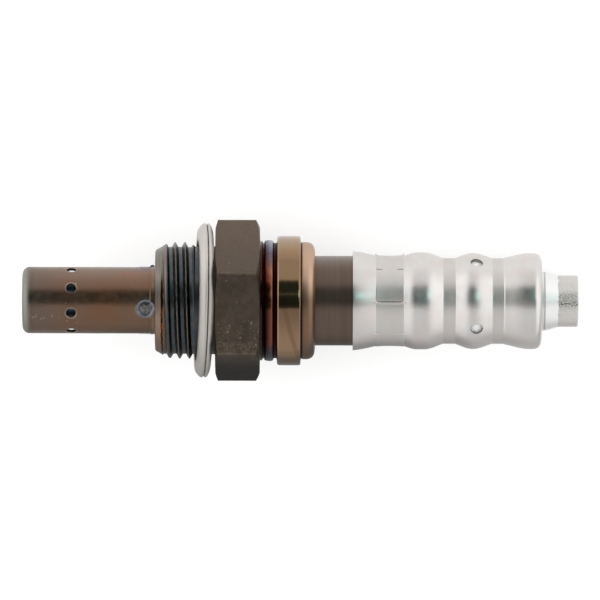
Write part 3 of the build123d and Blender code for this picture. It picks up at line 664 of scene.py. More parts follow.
def pinch_mask(look, settings):
    """1 in the pinch lines between the jaws: the one in front, and the ends of the next above it."""
    (start, end), *_ = settings.groove_places()
    first = math.degrees(settings.jaw_turn)
    near_end = look.math("MAXIMUM", look.rise(look.x, start + 0.9, start + 1.1, 1.0, 0.0),
                         look.rise(look.x, end - 1.1, end - 0.9))
    lifted = look.math("MAXIMUM", look.rise(look.x, start, start + 0.35, 1.6, 0.0),
                       look.rise(look.x, end - 0.35, end, 0.0, 1.6))
    turned = look.math("ADD", look.angle, lifted)
    inside = look.band(look.x, start + 0.05, end - 0.05, 0.05)
    front = look.band(turned, first - 1.7, first - 0.5, 0.25)
    above = look.band(look.angle, first - 360 / JAWS - 1.5, first - 360 / JAWS - 0.5, 0.25)
    return look.times(inside, look.math("MAXIMUM", front, look.times(above, near_end)))


def groove_mask(look, settings):
    """1 on the crimped band and in the two rolled grooves."""
    parts = [look.band(look.x, low, high, 0.06) for low, high in settings.groove_places()]
    total = parts[0]
    for part in parts[1:]:
        total = look.math("ADD", total, part)
    return total


def ferrule_look(settings):
    """Bright drawn stub whose crimped end is rough and beige-grey, with a painted reflection of the dark card on
    the crimp's side that faces the camera and painted shade in the groove behind the rim.
    """
    look = Look("ferrule_steel")
    crimp = settings.crimp_x / MM
    crimped = look.rise(look.x, crimp - 0.06, crimp + 0.06)
    bite = look.noise(4.2, (1, 1, 1), 4.0, 0.75)
    base = look.mix(crimped, settings.bright, settings.crimped)
    # Painted reflection: on the side that faces the camera the crimp's pits turn darker greenish grey, where it
    # mirrors the dark card.
    facing = look.band(look.angle, -30.0, 4.0, 10.0)
    pits_and_reflection = look.times(crimped, look.times(facing, look.rise(bite, 0.4, 0.62)))
    base = look.tint(base, pits_and_reflection, (116, 120, 114), 0.8)
    # Painted reflection: a dark mottled line near the crimp corner that faces the camera.
    line = look.times(look.band(look.angle, -8.0, 0.0, 3.0), look.rise(bite, 0.5, 0.56))
    base = look.tint(base, look.times(crimped, look.times(line, 0.9)), (62, 66, 62))
    teeth = look.rise(look.noise(5.0, shift=3.0), 0.5, 0.55)
    teeth = look.times(teeth, look.band(look.x, crimp - 0.12, crimp + 0.05, 0.06))
    base = look.tint(base, teeth, (110, 110, 106), 0.6)
    rim = settings.rim_end / MM
    # Painted shade in the groove behind the rim.
    groove = look.band(look.x, rim - 0.06, rim + 0.08, 0.04)
    base = look.tint(base, groove, (120, 122, 124), 0.4)
    rough = look.rise(crimped, 0.0, 1.0, 0.42, 0.46)
    height = look.math("MULTIPLY_ADD", look.times(bite, crimped), 8.0, look.lines(8.0))
    return look.finish(base, rough, height, 0.012)


def plain_look(name, rgb, rough, metal=0.0, grain=10.0, depth=0.01):
    """A finish for the pieces inside: one colour with a fine grain."""
    look = Look(name, metal)
    spots = look.noise(grain, detail=4.0)
    base = look.vary(linear(*rgb), spots, 0.82, 1.14)
    return look.finish(base, look.rise(spots, 0.3, 0.7, rough, rough + 0.1), spots, depth)


# Settings

class HousingSettings(bpy.types.PropertyGroup):
    thread_radius: length("Thread radius", 9.0, "Crest radius of the M18 thread")
    thread_pitch: length("Thread pitch", 1.5, "Distance between two crests")
    thread_depth: length("Thread depth", 0.76, "From crest to the rounded root")
    thread_crest: length("Crest place", -5.865, "Where one crest crosses the top, turned by the camera's lean")
    flat_distance: length("Flat distance", 11.0, "From the axis to a flat of the hexagon")
    worn_corner: length("Worn corner", 12.62, "Radius of the hexagon's corners")
    root: colour("Thread root", (92, 92, 92), "Dark steel in the thread")
    root_blue: colour("Thread blue", (80, 87, 92), "Blue sheen in the thread")
    crest: colour("Thread crest", (104, 97, 90), "Browned crests")
    pilot: colour("Pilot", (122, 118, 111), "Grey-brown pilot and run-in")
    hexagon: colour("Hexagon", (88, 78, 68), "Lighter tone of the hexagon")
    hexagon_dark: colour("Hexagon dark", (70, 61, 53), "Darker tone of the hexagon")
    collar: colour("Collar", (154, 126, 98), "Bronze-tan collar")
    collar_gold: colour("Collar gold", (150, 124, 94), "Golden tone of the collar")
    collar_rough: amount("Collar roughness", 0.135, "Roughness of the polished collar")
    # The lip's upper half takes this tone, lighter there as painted light.
    lip: colour("Lip", (188, 158, 134), "Copper tone of the rolled lip")


class GasketSettings(bpy.types.PropertyGroup):
    inner: length("Inner radius", 9.22, "Radius of the hole")
    width: length("Width", 2.88, "From the hole to the rim")
    sheet: length("Sheet", 0.55, "Thickness of the folded strip")
    front_fold: length("Front fold", 0.2, "Air inside the closed fold")
    rear_fold: length("Rear fold", 0.05, "Air inside the open fold")
    roll: length("Roll", 0.43, "Radius of the rolled edge of the rear layer")
    place: length("Place", -1.02, "Middle of the rear face along the axis")
    lean_y: turn("Lean about Y", 2.8, "How far the loose gasket leans about Y")
    lean_z: turn("Lean about Z", -1.65, "How far the loose gasket leans about Z")
    grey: colour("Grey", (192, 189, 185), "Cool tone of the sheet")
    warm: colour("Warm", (204, 198, 193), "Warm tone of the sheet")


class ProtectorSettings(bpy.types.PropertyGroup):
    radius: length("Radius", 5.12, "Outer radius of the tube")
    wall: length("Wall", 0.45, "Thickness of the tube")
    corner: length("Corner", 1.1, "Rounding of the closed end")
    end_hole: length("End hole", 1.0, "Radius of the hole in the closed end")
    hole: length("Gas hole", 0.75, "Radius of each gas hole inside its broken edge")
    hole_from_end: length("Hole row", 7.56, "From the closed end to the row of gas holes")
    hole_turn: turn("Hole turn", 12.4, "Angle of the first gas hole")
    holes: bpy.props.IntProperty(name="Gas holes", description="How many holes are in the row", default=8)
    weld_turn: turn("Weld turn", 3.3, "Angle of the first spot weld")
    weld_x: length("Weld place", -10.73, "Place of the spot welds along the axis")
    spatter_x: length("Spatter place", -9.75, "Place of the drop of weld metal along the axis")
    spatter_turn: turn("Spatter turn", -97.0, "Angle of the drop of weld metal")
    brown: colour("Brown", (114, 92, 77), "Taupe brown of the tube")
    red_brown: colour("Red brown", (118, 88, 69), "Redder tone of the tube")
    tip_grey: colour("Tip grey", (140, 139, 133), "Grey of the closed end")

    @property
    def arc_per_degree(self):
        """Millimetres round the tube for each degree."""
        return math.radians(self.radius / MM)


class CoverSettings(bpy.types.PropertyGroup):
    wall: length("Wall", 0.4, "Thickness of the cover")
    band: length("Band radius", 6.95, "Radius of the crimped band")
    groove: length("Groove radius", 6.6, "Radius of the rolled grooves")
    bulge_1: length("First bulge", 7.465, "Crest radius of the first bulge")
    bulge_2: length("Second bulge", 7.41, "Crest radius of the second bulge")
    bulge_3: length("Third bulge", 7.4, "Crest radius of the third bulge")
    corner: length("Corner", 1.25, "Rounding of the end")
    firmness: amount("Groove firmness", 0.4, "How steeply a crest leaves its groove")
    hollow: length("Hollow", 0.1, "How much narrower the crimped band is in its middle")
    crease: length("Crease", 0.05, "Height of the creases beside band and grooves")
    pinch: length("Pinch height", 0.07, "Height of the pinch lines between the jaws")
    jaw_turn: turn("Jaw turn", -8.6, "Angle of the first pinch line")
    vent_x: length("Vent place", 40.17, "Where the ring of vents lies along the axis")
    vent: length("Vent", 0.91, "Radius of each vent")
    vent_turn: turn("Vent turn", 25.1, "Angle of the first vent")
    shine: amount("Shine", 0.29, "Lowest roughness of the cover")
    ear: length("Ear", 0.32, "Height of the sharp ends of the jaw mark at the top of the view")
    silver: colour("Silver", (207, 206, 204), "Cool tone of the cover")
    silver_warm: colour("Silver warm", (208, 201, 197), "Warm tone of the cover")
    casing: colour("Casing", (98, 82, 72), "Brown tone of the inner casing")
    casing_grey: colour("Casing grey", (102, 90, 82), "Grey tone of the inner casing")

    @property
    def arc_per_degree(self):
        """Millimetres along the second crest for each degree."""
        return math.radians(self.bulge_2 / MM)

    def groove_places(self):
        """Where the band and the grooves start and end."""
        return ((24.7, 28.95), (35.05, 36.9), (42.6, 44.3))


class FerruleSettings(bpy.types.PropertyGroup):
    radius: length("Radius", 4.56, "Outer radius of the stub")
    bore: length("Bore", 3.4, "Radius of the hole")
    squeeze: length("Squeeze", 0.6, "How far the die presses each flat in")
    crimp_start: length("Crimp start", 50.76, "Where the die's lead-in starts")
    crimp_x: length("Crimp", 52.8, "Where the full crimp starts")
    crimp_turn: turn("Crimp turn", -11.8, "Angle of one corner of the crimp")
    crimp_corner: length("Crimp corner", 2.9, "Rounding of the crimp's corners")
    rim_end: length("Rim end", 50.62, "Where the rim behind the cover's opening ends")
    edge: length("Edge", 0.2, "Bevel of the end")
    bright: colour("Bright", (232, 232, 231), "Smooth part of the stub")
    crimped: colour("Crimped", (208, 205, 200), "Rough crimped part")


class StageSettings(bpy.types.PropertyGroup):
    centre: length("Centre", 13.02, "Place on the axis that the camera looks at")
    width: length("Width", 92.45, "Width of the view")
    distance: length("Distance", 1500.0, "From the camera to the axis")
    lean: turn("Lean", VIEW_LEAN, "How far the camera leans from straight above, towards +Y")
    roll: turn("Roll", 0.126, "How far the picture is turned about the line of sight")
    rise: length("Rise", 0.095, "How far above the axis the camera looks")
    card_distance: length("Card distance", 1650.0, "From the axis to the cards")
    floor_white: amount("Floor", 0.9, "Brightness of the floor's colour")
    floor_glow: amount("Floor glow", 0.6, "How much of the floor's white the camera sees without light")
    key: bpy.props.FloatProperty(name="Key", description="Power of each side lamp", default=10.5, min=0)
    fill: bpy.props.FloatProperty(name="Fill", description="Power of the lamp above", default=1.5, min=0)


# Shapes

def thread_radius_at(x, degrees, settings):
    """Radius of the helical thread, run in over a cone and run out at the relief."""
    crest = settings.thread_radius / MM
    pitch = settings.thread_pitch / MM
    depth = settings.thread_depth / MM
    crest_flat, flank, root_round = 0.1, 0.58, 0.2
    front_r, front_slope = 8.03, 0.62
    full_x, run_in_slope = -6.2, 0.16
    run_out, run_out_end = -3.75, -3.1
    across = (x - settings.thread_crest / MM) / pitch - (degrees + VIEW_LEAN) / 360
    off = abs(across - round(across)) * 2
    fall = min(1.0, max(0.0, (off - crest_flat) / flank))
    if fall > 1 - root_round:
        fall = 1 - root_round * ((1 - fall) / root_round) ** 2
    front = front_r + (x - THREAD_START) * front_slope
    radius = min(crest - depth * fall, front, crest + (x - full_x) * run_in_slope)
    return radius + (RELIEF_RADIUS - radius) * step_up(x, run_out, run_out_end)


def hexagon_rows(settings):
    """Rows over the hexagon, bevelled at both ends, as functions of the angle."""
    height = HEXAGON_HEIGHT
    bevel_r, front, rear, fine = 11.2, 0.42, 0.63, 0.05

    def reach(degrees):
        off = (degrees + 30) % 60 - 30
        return min(settings.flat_distance / MM / math.cos(math.radians(off)), settings.worn_corner / MM)

    def bevel(degrees, depth):
        full = settings.flat_distance / MM / math.cos(math.radians(30)) - bevel_r
        return max(fine, depth * (reach(degrees) - bevel_r) / full)

    def side(share):
        def row(degrees):
            low, high = bevel(degrees, front), height - bevel(degrees, rear)
            return low + (high - low) * share, reach(degrees)
        return row

    rows = [lambda degrees: (0.0, min(bevel_r, reach(degrees) - fine))]
    rows += [side(share / 12) for share in range(13)]
    rows.append(lambda degrees: (height, min(bevel_r, reach(degrees) - fine)))
    return rows


def housing_rows(settings):
    """Rows over the whole housing: spigot, pilot, thread, hexagon, neck, collar, lip, and the bore."""
    low, high = limits("housing")
    casing_low, _ = limits("inner_casing")
    height, lip_end = HEXAGON_HEIGHT, high.x
    spigot, bevel, pilot_front, pilot_r = 4.62, 0.1, -9.28, 7.5
    neck_r, bead_r, collar_end, collar_r, lip_r = 8.88, 9.33, 13.1, 9.97, 9.03
    tip_bore, element_bore, talc_bore, sleeve_bore, casing_bore = 3.9, 4.2, 6.4, 7.6, 7.0
    rows = trail((low.x, tip_bore), (low.x, spigot - bevel), (low.x + bevel, spigot), (pilot_front, spigot),
                 (pilot_front, pilot_r))
    rows += curve((-9.26, 7.58), (-9.18, 7.84), (-8.98, 7.9), (-8.72, 8.02), 8)
    step = 0.05
    for i in range(1, round((THREAD_END - THREAD_START) / step)):
        rows.append(thread_row(THREAD_START + i * step, settings))
    rows += trail((THREAD_END, RELIEF_RADIUS), (-0.12, RELIEF_RADIUS), (0.0, 8.45), (0.0, 10.4))
    rows += hexagon_rows(settings)
    rows += trail((height, 10.3), (height, 9.32), (height + 0.1, 9.2), (7.2, 9.2), (7.32, 8.95), (7.48, neck_r))
    rows += curve((7.51, 8.92), (7.54, 9.27), (7.78, 9.31), (8.3, bead_r), 9)
    rows += curve((8.3, bead_r), (8.72, 9.32), (8.93, 9.24), (8.96, 8.92), 9)[1:]
    rows += [(8.99, neck_r), (9.4, neck_r), (COLLAR_START, 9.3)]
    rows += trail((COLLAR_START, 9.6), (9.5, 9.75), (9.58, 9.87), (9.75, 9.95), (10.0, collar_r),
                  (11.3, collar_r + 0.01), (12.8, collar_r), (12.98, 9.92), (13.08, 9.82), (collar_end, 9.7),
                  (collar_end + 0.02, 9.25), step=0.2)
    rows += [(13.2, 8.9), (13.3, 8.97), (13.45, 9.01), (13.65, lip_r)]
    rows += curve((13.85, lip_r), (14.75, 9.02), (15.3, 8.66), (lip_end, 7.3), 22)
    rows += [(lip_end - 0.02, casing_bore), (lip_end - 0.3, casing_bore)]
    seat = casing_low.x + 0.5
    rows += trail((seat, casing_bore), (seat, sleeve_bore), (3.6, sleeve_bore), (3.6, talc_bore),
                  (0.2, talc_bore), (-2.0, element_bore), (pilot_front, element_bore), (pilot_front, tip_bore),
                  (low.x + 0.3, tip_bore), step=3.0)
    return rows


def thread_row(x, settings):
    """One row of the thread."""
    return lambda degrees: (x, thread_radius_at(x, degrees, settings))


def neck_push(x, r, degrees):
    """Small buckles of the neck's bead, and dull unevenness elsewhere."""
    if 7.5 < x < 8.98 and r > 8.6:
        return 0.035 * noise.noise(Vector((x * 1.2, math.radians(degrees) * 5, 3.1)))
    if 9.5 < x < 15.2 and r > 7.5:
        return 0.012 * noise.noise(Vector((x * 0.4, math.radians(degrees) * 2, 7.7)))
    return 0.0


class SENSOR_OT_housing(bpy.types.Operator):
    """Builds the threaded housing with its hexagon, neck, collar and lip"""

    bl_idname = "sensor.housing"
    bl_label = "Housing"

    def execute(self, context):
        settings = context.scene.sensor_housing
        obj = lathe("housing_body", housing_rows(settings), 240, 0.0, neck_push)
        looks = [thread_look(settings), hexagon_look(settings), neck_look(settings), collar_look(settings)]
        show(obj, "housing", looks, 24)
        hair = 0.01
        ends = (-hair, HEXAGON_HEIGHT + hair, COLLAR_START - hair)
        for face in obj.data.polygons:
            face.material_index = sum(face.center.x / MM > end for end in ends)
        return {"FINISHED"}


def gasket_path(settings):
    """The middle line of the folded strip, from the front layer's hole to the rear layer's rim."""
    half = settings.sheet / MM / 2
    rear = -half
    middle = rear - (settings.sheet + settings.rear_fold) / MM
    front = middle - (settings.sheet + settings.front_fold) / MM
    inner, rim = settings.inner / MM, (settings.inner + settings.width) / MM
    front_bend, rear_bend = (middle - front) / 2, (rear - middle) / 2
    outer_r, inner_r = rim - half - front_bend, inner + half + rear_bend
    path = trail((front, inner + 0.1), (front, outer_r))
    path += arc((front + front_bend, outer_r), front_bend, 180, 0, 12)[1:]
    path += trail((middle, outer_r), (middle, inner_r))[1:]
    path += arc((middle + rear_bend, inner_r), rear_bend, 180, 360, 12)[1:]
    roll, short = settings.roll / MM, 0.1
    path += trail((rear, inner_r), (rear, rim - short - 2 * roll))[1:]
    outline = strip(path, half)
    middle_rear = len(path)
    edge = arc((rear - half + roll, rim - short - roll), roll, 180, -74, 24)
    seam = rear - half - settings.rear_fold / MM / 2
    fronts, rears = seam - (front - half), 2 * roll
    front_drop, rear_drop, deep, shallow = 0.72, 0.85, 2.4, 0.5

    def crushed(x, r):
        """Presses the rim down away from the seam between the two layers."""
        share = min(1.0, (seam - x) / fronts if x < seam else (x - seam) / rears)
        if x < seam:
            drop = front_drop * (1 - math.cos(math.pi * share)) / 2
        else:
            drop = rear_drop * share ** 2
        return x, r - drop * step_up(r, rim - deep, rim - shallow)

    return [crushed(x, r) for x, r in outline[:middle_rear] + edge + outline[middle_rear:]]


class SENSOR_OT_gasket(bpy.types.Operator):
    """Builds the folded sealing gasket, loose behind the thread"""

    bl_idname = "sensor.gasket"
    bl_label = "Gasket"

    def execute(self, context):
        settings = context.scene.sensor_gasket
        obj = lathe("gasket_ring", gasket_path(settings), 240)
        lean = Matrix.Rotation(settings.lean_y, 4, "Y") @ Matrix.Rotation(settings.lean_z, 4, "Z")
        obj.data.transform(Matrix.Translation((settings.place, 0, 0)) @ lean)
        show(obj, "sealing_gasket", [gasket_look(settings)], 40)
        return {"FINISHED"}


class SENSOR_OT_protector(bpy.types.Operator):
    """Builds the outer protector tube with its gas holes and spot welds"""

    bl_idname = "sensor.protector"
    bl_label = "Protector"

    def execute(self, context):
        settings = context.scene.sensor_protector
        low, high = limits("outer_protector")
        half = settings.wall / MM / 2
        tube = settings.radius / MM - half
        turn_r = settings.corner / MM - half
        path = trail((low.x + half, settings.end_hole / MM), (low.x + half, tube - turn_r))
        path += arc((low.x + half + turn_r, tube - turn_r), turn_r, 180, 90, 12)[1:]
        fine_from, swell = -13.4, 0.1
        path += trail(path[-1], (fine_from, tube), step=0.5)[1:]
        path += trail((fine_from, tube), (high.x - 0.7, tube), step=0.11)[1:]
        path += [(high.x - back, tube + swell) for back in (0.6, 0.3, 0.0)]
        weld_x, first = settings.weld_x / MM, math.degrees(settings.weld_turn)
        drop_x, drop_turn = settings.spatter_x / MM, math.degrees(settings.spatter_turn)
        per_degree = settings.arc_per_degree
        dent_depth, roughness, grain = 0.02, 0.05, 2.6
        drop_height, drop_r = 0.32, 0.3
        reach, moat_depth, moat_r, rim_height, rim_r, soft = 2.2, 0.09, 1.0, 0.05, 1.3, 0.2

        def push(x, r, degrees):
            lift = dent_depth * noise.noise(Vector((x * 0.3, math.radians(degrees) * 1.5, 1.3)))
            if r < tube:
                return lift
            far = math.hypot(x - drop_x, apart(degrees, drop_turn) * per_degree)
            lift += drop_height * math.exp(-(far / drop_r) ** 2)
            for i in range(WELDS):
                far = math.hypot(x - weld_x, apart(degrees, first + 360 / WELDS * i) * per_degree)
                if far < reach:
                    rough = roughness * noise.noise(Vector((x * grain, degrees * per_degree * grain, 5.0)))
                    lift -= moat_depth * math.exp(-((far - moat_r) / soft) ** 2)
                    lift += rim_height * math.exp(-((far - rim_r) / soft) ** 2)
                    lift += rough * step_up(-far, -1.8, -0.8)
            return lift

        obj = lathe("protector_tube", strip(path, half), 320, 0.0, push)
        place = low.x + settings.hole_from_end / MM
        drill(obj, settings.holes, math.degrees(settings.hole_turn), place, settings.hole / MM,
              settings.radius / MM, 0.05)
        show(obj, "outer_protector", [protector_look(settings)], 30)
        return {"FINISHED"}


def swelling(x0, r0, x1, r1, firmness, count=16):
    """Points over a rounded stretch between a groove and a crest, level at the crest only."""
    third = (x1 - x0) / 3
    if r0 < r1:
        near, far = r0 + firmness * (r1 - r0), r1
    else:
        near, far = r0, r1 + firmness * (r0 - r1)
    return curve((x0, r0), (x0 + third, near), (x1 - third, far), (x1, r1), count)[1:]


def cover_line(settings, low, high):
    """The outer line of the cover from its mouth to its end face, with creases at band and grooves."""
    (band_x, band_end), *necks = settings.groove_places()
    band, groove = settings.band / MM, settings.groove / MM
    crest_1, crest_2, crest_3 = (settings.bulge_1 / MM, settings.bulge_2 / MM, settings.bulge_3 / MM)
    crease, firm, corner = settings.crease / MM, settings.firmness, settings.corner / MM
    soft, flat_end = 0.12, 0.58
    line = [(low.x, high.y), (low.x + 0.1, high.y)]
    line += curve((low.x + 0.1, high.y), (low.x + 1.1, high.y - 0.06), (low.x + 2.6, band + crease + 0.2),
                  (band_x - soft, band + crease), 20)[1:]
    half, count = (band_end - band_x) / 2, 36
    for i in range(count + 1):
        u = 2 * i / count - 1
        line.append((band_x + half * (1 + u), band + settings.hollow / MM * u * u))
    line += [(band_end + soft, band + crease)]
    crests = ((30.95, 32.2, crest_1), (39.6, 39.6, crest_2))
    for (start, end, crest), (neck, neck_end) in zip(crests, necks):
        line += swelling(*line[-1], start, crest, firm)
        if end > start:
            line += trail((start, crest), (end, crest), step=0.2)[1:]
        line += swelling(end, crest, neck - soft, groove + crease, firm)
        line += [(neck - soft / 3, groove + crease / 4)]
        line += trail((neck, groove), (neck_end, groove), step=0.2)
        line += [(neck_end + soft / 3, groove + crease / 4), (neck_end + soft, groove + crease)]
    line += swelling(*line[-1], high.x - corner - flat_end, crest_3, firm)
    line += arc((high.x - corner, crest_3 - corner), corner, 90, 0, 10)
    return line


class SENSOR_OT_cover(bpy.types.Operator):
    """Builds the crimped and rolled outer cover with its vents"""

    bl_idname = "sensor.cover"
    bl_label = "Outer cover"

    def execute(self, context):
        settings = context.scene.sensor_cover
        low, high = limits("outer_cover")
        wall, opening = settings.wall / MM, 4.65
        outer = cover_line(settings, low, high)
        inner = [(min(x, high.x - wall), r - wall) for x, r in outer]
        rows = outer + trail((high.x, outer[-1][1]), (high.x, opening))[1:]
        rows += trail((high.x - wall, opening), (high.x - wall, inner[-1][1]))[:-1] + inner[::-1]
        (band_x, band_end), *_ = settings.groove_places()
        first, tall = math.degrees(settings.jaw_turn), settings.pinch / MM
        # How much of each pinch line shows between its ends. The last lies above the first, and is straight.
        middle_share = (1.0, 0.25, 0.0, 0.1, 0.5, 0.3, 0.2, 0.0)
        view_top, ear_half, ear_length = -90 - VIEW_LEAN, 0.9, 0.13
        blend, end_reach, upturn, upturn_length = 0.3, 0.7, 1.6, 0.22
        line_half, line_off, near_line = 0.09, 0.1, 1.2

        def at_ends(x, reach, power=2):
            return sum(math.exp(-((x - end) / reach) ** power) for end in (band_x, band_end))

        def push(x, r, degrees):
            lift = 0.012 * noise.noise(Vector((x * 0.25, math.radians(degrees) * 1.3, 2.2)))
            if not band_x - blend < x < band_end + blend:
                return lift
            near = step_up(x, band_x - blend, band_x) * step_up(-x, -band_end - blend, -band_end)
            top = math.exp(-(apart(degrees, view_top) * r * math.pi / 180 / ear_half) ** 2)
            lift += settings.ear / MM * top * at_ends(x, ear_length)
            ends, lifted = at_ends(x, end_reach, 4), upturn * at_ends(x, upturn_length)
            for i, share in enumerate(middle_share):
                turned = apart(degrees, first + 360 / JAWS * i) + (lifted if i < JAWS - 1 else 0.0)
                off = turned * r * math.pi / 180
                if abs(off) < near_line:
                    strength = share + (1 - share) * 0.9 * min(1.0, ends)
                    ridge = math.exp(-((off - line_off) / line_half) ** 2) * share
                    trough = -1.1 * math.exp(-((off + line_off) / line_half) ** 2) * strength
                    lift += tall * near * (ridge + trough)
            return lift

        obj = lathe("cover_shell", rows, 480, 0.0, push)
        drill(obj, VENTS, math.degrees(settings.vent_turn), settings.vent_x / MM, settings.vent / MM,
              settings.bulge_2 / MM, 0.05)
        show(obj, "outer_cover", [cover_look(settings)], 30)
        return {"FINISHED"}


class SENSOR_OT_casing(bpy.types.Operator):
    """Builds the brown inner casing"""

    bl_idname = "sensor.casing"
    bl_label = "Inner casing"

    def execute(self, context):
        settings = context.scene.sensor_cover
        low, high = limits("inner_casing")
        half, front_r, middle_r, rear_r = 0.25, 6.65, 6.25, 5.35
        stops = [(low.x + half, high.y), (low.x + half, front_r), (22.0, front_r), (22.9, middle_r),
                 (33.0, middle_r), (34.0, rear_r), (high.x, rear_r)]
        obj = lathe("casing_tube", strip(rounded(stops, 0.4, 0.5), half), 192)
        show(obj, "inner_casing", [casing_look(settings)], 40)
        return {"FINISHED"}


class SENSOR_OT_ferrule(bpy.types.Operator):
    """Builds the cable ferrule with its six-sided crimp"""

    bl_idname = "sensor.ferrule"
    bl_label = "Cable ferrule"

    def execute(self, context):
        settings = context.scene.sensor_ferrule
        low, high = limits("cable_ferrule")
        radius, bore, edge = settings.radius / MM, settings.bore / MM, settings.edge / MM
        start, full = settings.crimp_start / MM, settings.crimp_x / MM
        squeeze, corner = settings.squeeze / MM, math.degrees(settings.crimp_turn)
        round_r = settings.crimp_corner / MM
        flat = radius - squeeze
        away = (flat - round_r) / math.cos(math.radians(30))
        turn_at = math.degrees(math.atan2(round_r / 2, away + round_r * math.cos(math.radians(30))))

        def die(degrees):
            off = abs((degrees - corner + 30) % 60 - 30)
            if off > turn_at:
                return flat / math.cos(math.radians(30 - off))
            a = math.radians(off)
            return away * math.cos(a) + math.sqrt(round_r ** 2 - (away * math.sin(a)) ** 2)

        def pressed(x, shrink=0.0):
            share = min(1.0, max(0.0, (x - start) / (full - start)))
            return lambda degrees: (x, radius + (die(degrees) - radius) * share - shrink)

        rows = trail((low.x, bore + 0.05), (low.x, high.y), (low.x + 0.5, high.y), (low.x + 0.5, radius))
        rim = settings.rim_end / MM
        rows += trail((low.x + 0.5, radius), (rim - 0.1, radius), (rim - 0.04, radius - 0.04), (rim, radius - 0.1),
                      (rim + 0.06, radius - 0.1), (rim + 0.12, radius - 0.02), (start, radius))[1:]
        count = 26
        rows += [pressed(start + (full - start) * i / count) for i in range(1, count + 1)]
        rows += [pressed(full + (high.x - edge - full) * i / count) for i in range(1, count + 1)]
        rows += [pressed(high.x - edge * 0.4, edge * 0.35), pressed(high.x, edge)]
        rows += trail((high.x, bore + edge), (high.x - edge, bore), (low.x + 0.05, bore), step=0.6)

        def push(x, r, degrees):
            if x < full or r < bore + 0.3:
                return 0.0
            side = math.radians(degrees) * r
            return 0.03 * noise.noise(Vector((x * 3.2, side * 3.2, 4.4))) - 0.02

        obj = lathe("ferrule_stub", rows, 240, corner, push)
        show(obj, "cable_ferrule", [ferrule_look(settings)], 26)
        return {"FINISHED"}


class SENSOR_OT_inside(bpy.types.Operator):
    """Gives the pieces inside their finishes: ceramics, filter, rubber, packing and contacts"""

    bl_idname = "sensor.inside"
    bl_label = "Inner pieces"

    def execute(self, context):
        steel = plain_look("inner_steel", (150, 142, 134), 0.35, 1.0)
        contact = plain_look("contact_metal", (190, 186, 178), 0.3, 1.0)
        alumina = plain_look("alumina", (232, 232, 226), 0.6)
        finishes = {
            "inner_protector": plain_look("inner_protector_steel", (122, 134, 146), 0.45, 1.0),
            "seat_washer": steel,
            "crimp_ring": steel,
            "insulator_spring": steel,
            "sensing_element": plain_look("zirconia", (222, 216, 205), 0.6),
            "heater_rod": alumina,
            "ceramic_sleeve": alumina,
            "terminal_insulator": alumina,
            "talc_seal": plain_look("talc", (205, 202, 194), 0.8, grain=16.0),
            "vent_filter": plain_look("white_filter", (224, 225, 226), 0.7, grain=18.0, depth=0.03),
            "lead_grommet": plain_look("black_rubber", (38, 38, 38), 0.6, grain=6.0),
            "signal_terminal_inner": contact,
            "signal_terminal_outer": contact,
            "heater_terminal_a": contact,
            "heater_terminal_b": contact,
        }
        for node, look in finishes.items():
            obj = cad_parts[node]
            obj.data.materials.clear()
            obj.data.materials.append(look)
        return {"FINISHED"}


def emitter(name, rgb, strength):
    """A plain glowing finish for a card that only reflections see."""
    look = bpy.data.materials.new(name)
    look.use_nodes = True
    tree = look.node_tree
    tree.nodes.clear()
    glow = tree.nodes.new("ShaderNodeEmission")
    glow.inputs["Color"].default_value = (*linear(*rgb), 1.0)
    glow.inputs["Strength"].default_value = strength
    out = tree.nodes.new("ShaderNodeOutputMaterial")
    tree.links.new(glow.outputs[0], out.inputs["Surface"])
    return look


def card(name, corners, look):
    """A flat stage card through four corners, in metres."""
    mesh = bpy.data.meshes.new(name)
    mesh.from_pydata([tuple(c) for c in corners], [], [(0, 1, 2, 3)])
    obj = bpy.data.objects.new(name, mesh)
    bpy.context.scene.collection.objects.link(obj)
    mesh.materials.append(look)
    return obj


def lamp(name, place, aim, size, power, rgb):
    """A soft rectangular lamp aimed at a point."""
    light = bpy.data.lights.new(name, "AREA")
    light.shape = "RECTANGLE"
    light.size, light.size_y = size
    light.energy = power
    light.color = linear(*rgb)
    obj = bpy.data.objects.new(name, light)
    obj.location = place
    obj.rotation_mode = "QUATERNION"
    obj.rotation_quaternion = (Vector(aim) - Vector(place)).to_track_quat("-Z", "Y")
    bpy.context.scene.collection.objects.link(obj)
    return obj


def only_reflected(obj):
    """Keeps a stage card out of the plain view, so that only reflections show it."""
    obj.visible_camera = False
    obj.visible_diffuse = False
    obj.visible_shadow = False


def paper_look(settings):
    """The white floor, with the faint grain of paper."""
    look = Look("paper", 0.0)
    pulp = look.noise(0.4, detail=2.0)
    plain = (settings.floor_white,) * 3
    rays = look.add("ShaderNodeLightPath").outputs
    seen = look.math("MAXIMUM", rays["Is Camera Ray"],
                     look.math("MAXIMUM", rays["Is Glossy Ray"], rays["Is Transmission Ray"]))
    lit = settings.floor_glow
    base = look.mix(seen, look.vary(plain, pulp, 0.995, 1.005), (0.99 * (1 - lit),) * 3)
    look.shader.inputs["Emission Color"].default_value = (1, 1, 1, 1)
    look.link(look.times(seen, lit), look.shader.inputs["Emission Strength"])
    look.shader.inputs["Specular IOR Level"].default_value = 0.0
    return look.finish(base, 0.9)


def floor_shadow_look():
    """A painted shadow that the underside mirrors: a dim floor card, darkest below the hexagon, lighter away from
    it.
    """
    look = Look("mirrored_floor_shadow", 0.0)
    ends = look.math("MAXIMUM", look.rise(look.x, 24.0, 50.0), look.rise(look.x, -28.0, -10.0, 1.0, 0.0))
    away = look.rise(look.y, -90.0, -14.0, 1.0, 0.0)
    base = look.mix(away, look.mix(ends, linear(150, 151, 152), linear(206, 206, 206)), linear(212, 212, 212))
    look.link(base, look.shader.inputs["Emission Color"])
    look.shader.inputs["Emission Strength"].default_value = 1.0
    look.shader.inputs["Specular IOR Level"].default_value = 0.0
    return look.finish((0.0, 0.0, 0.0), 1.0)


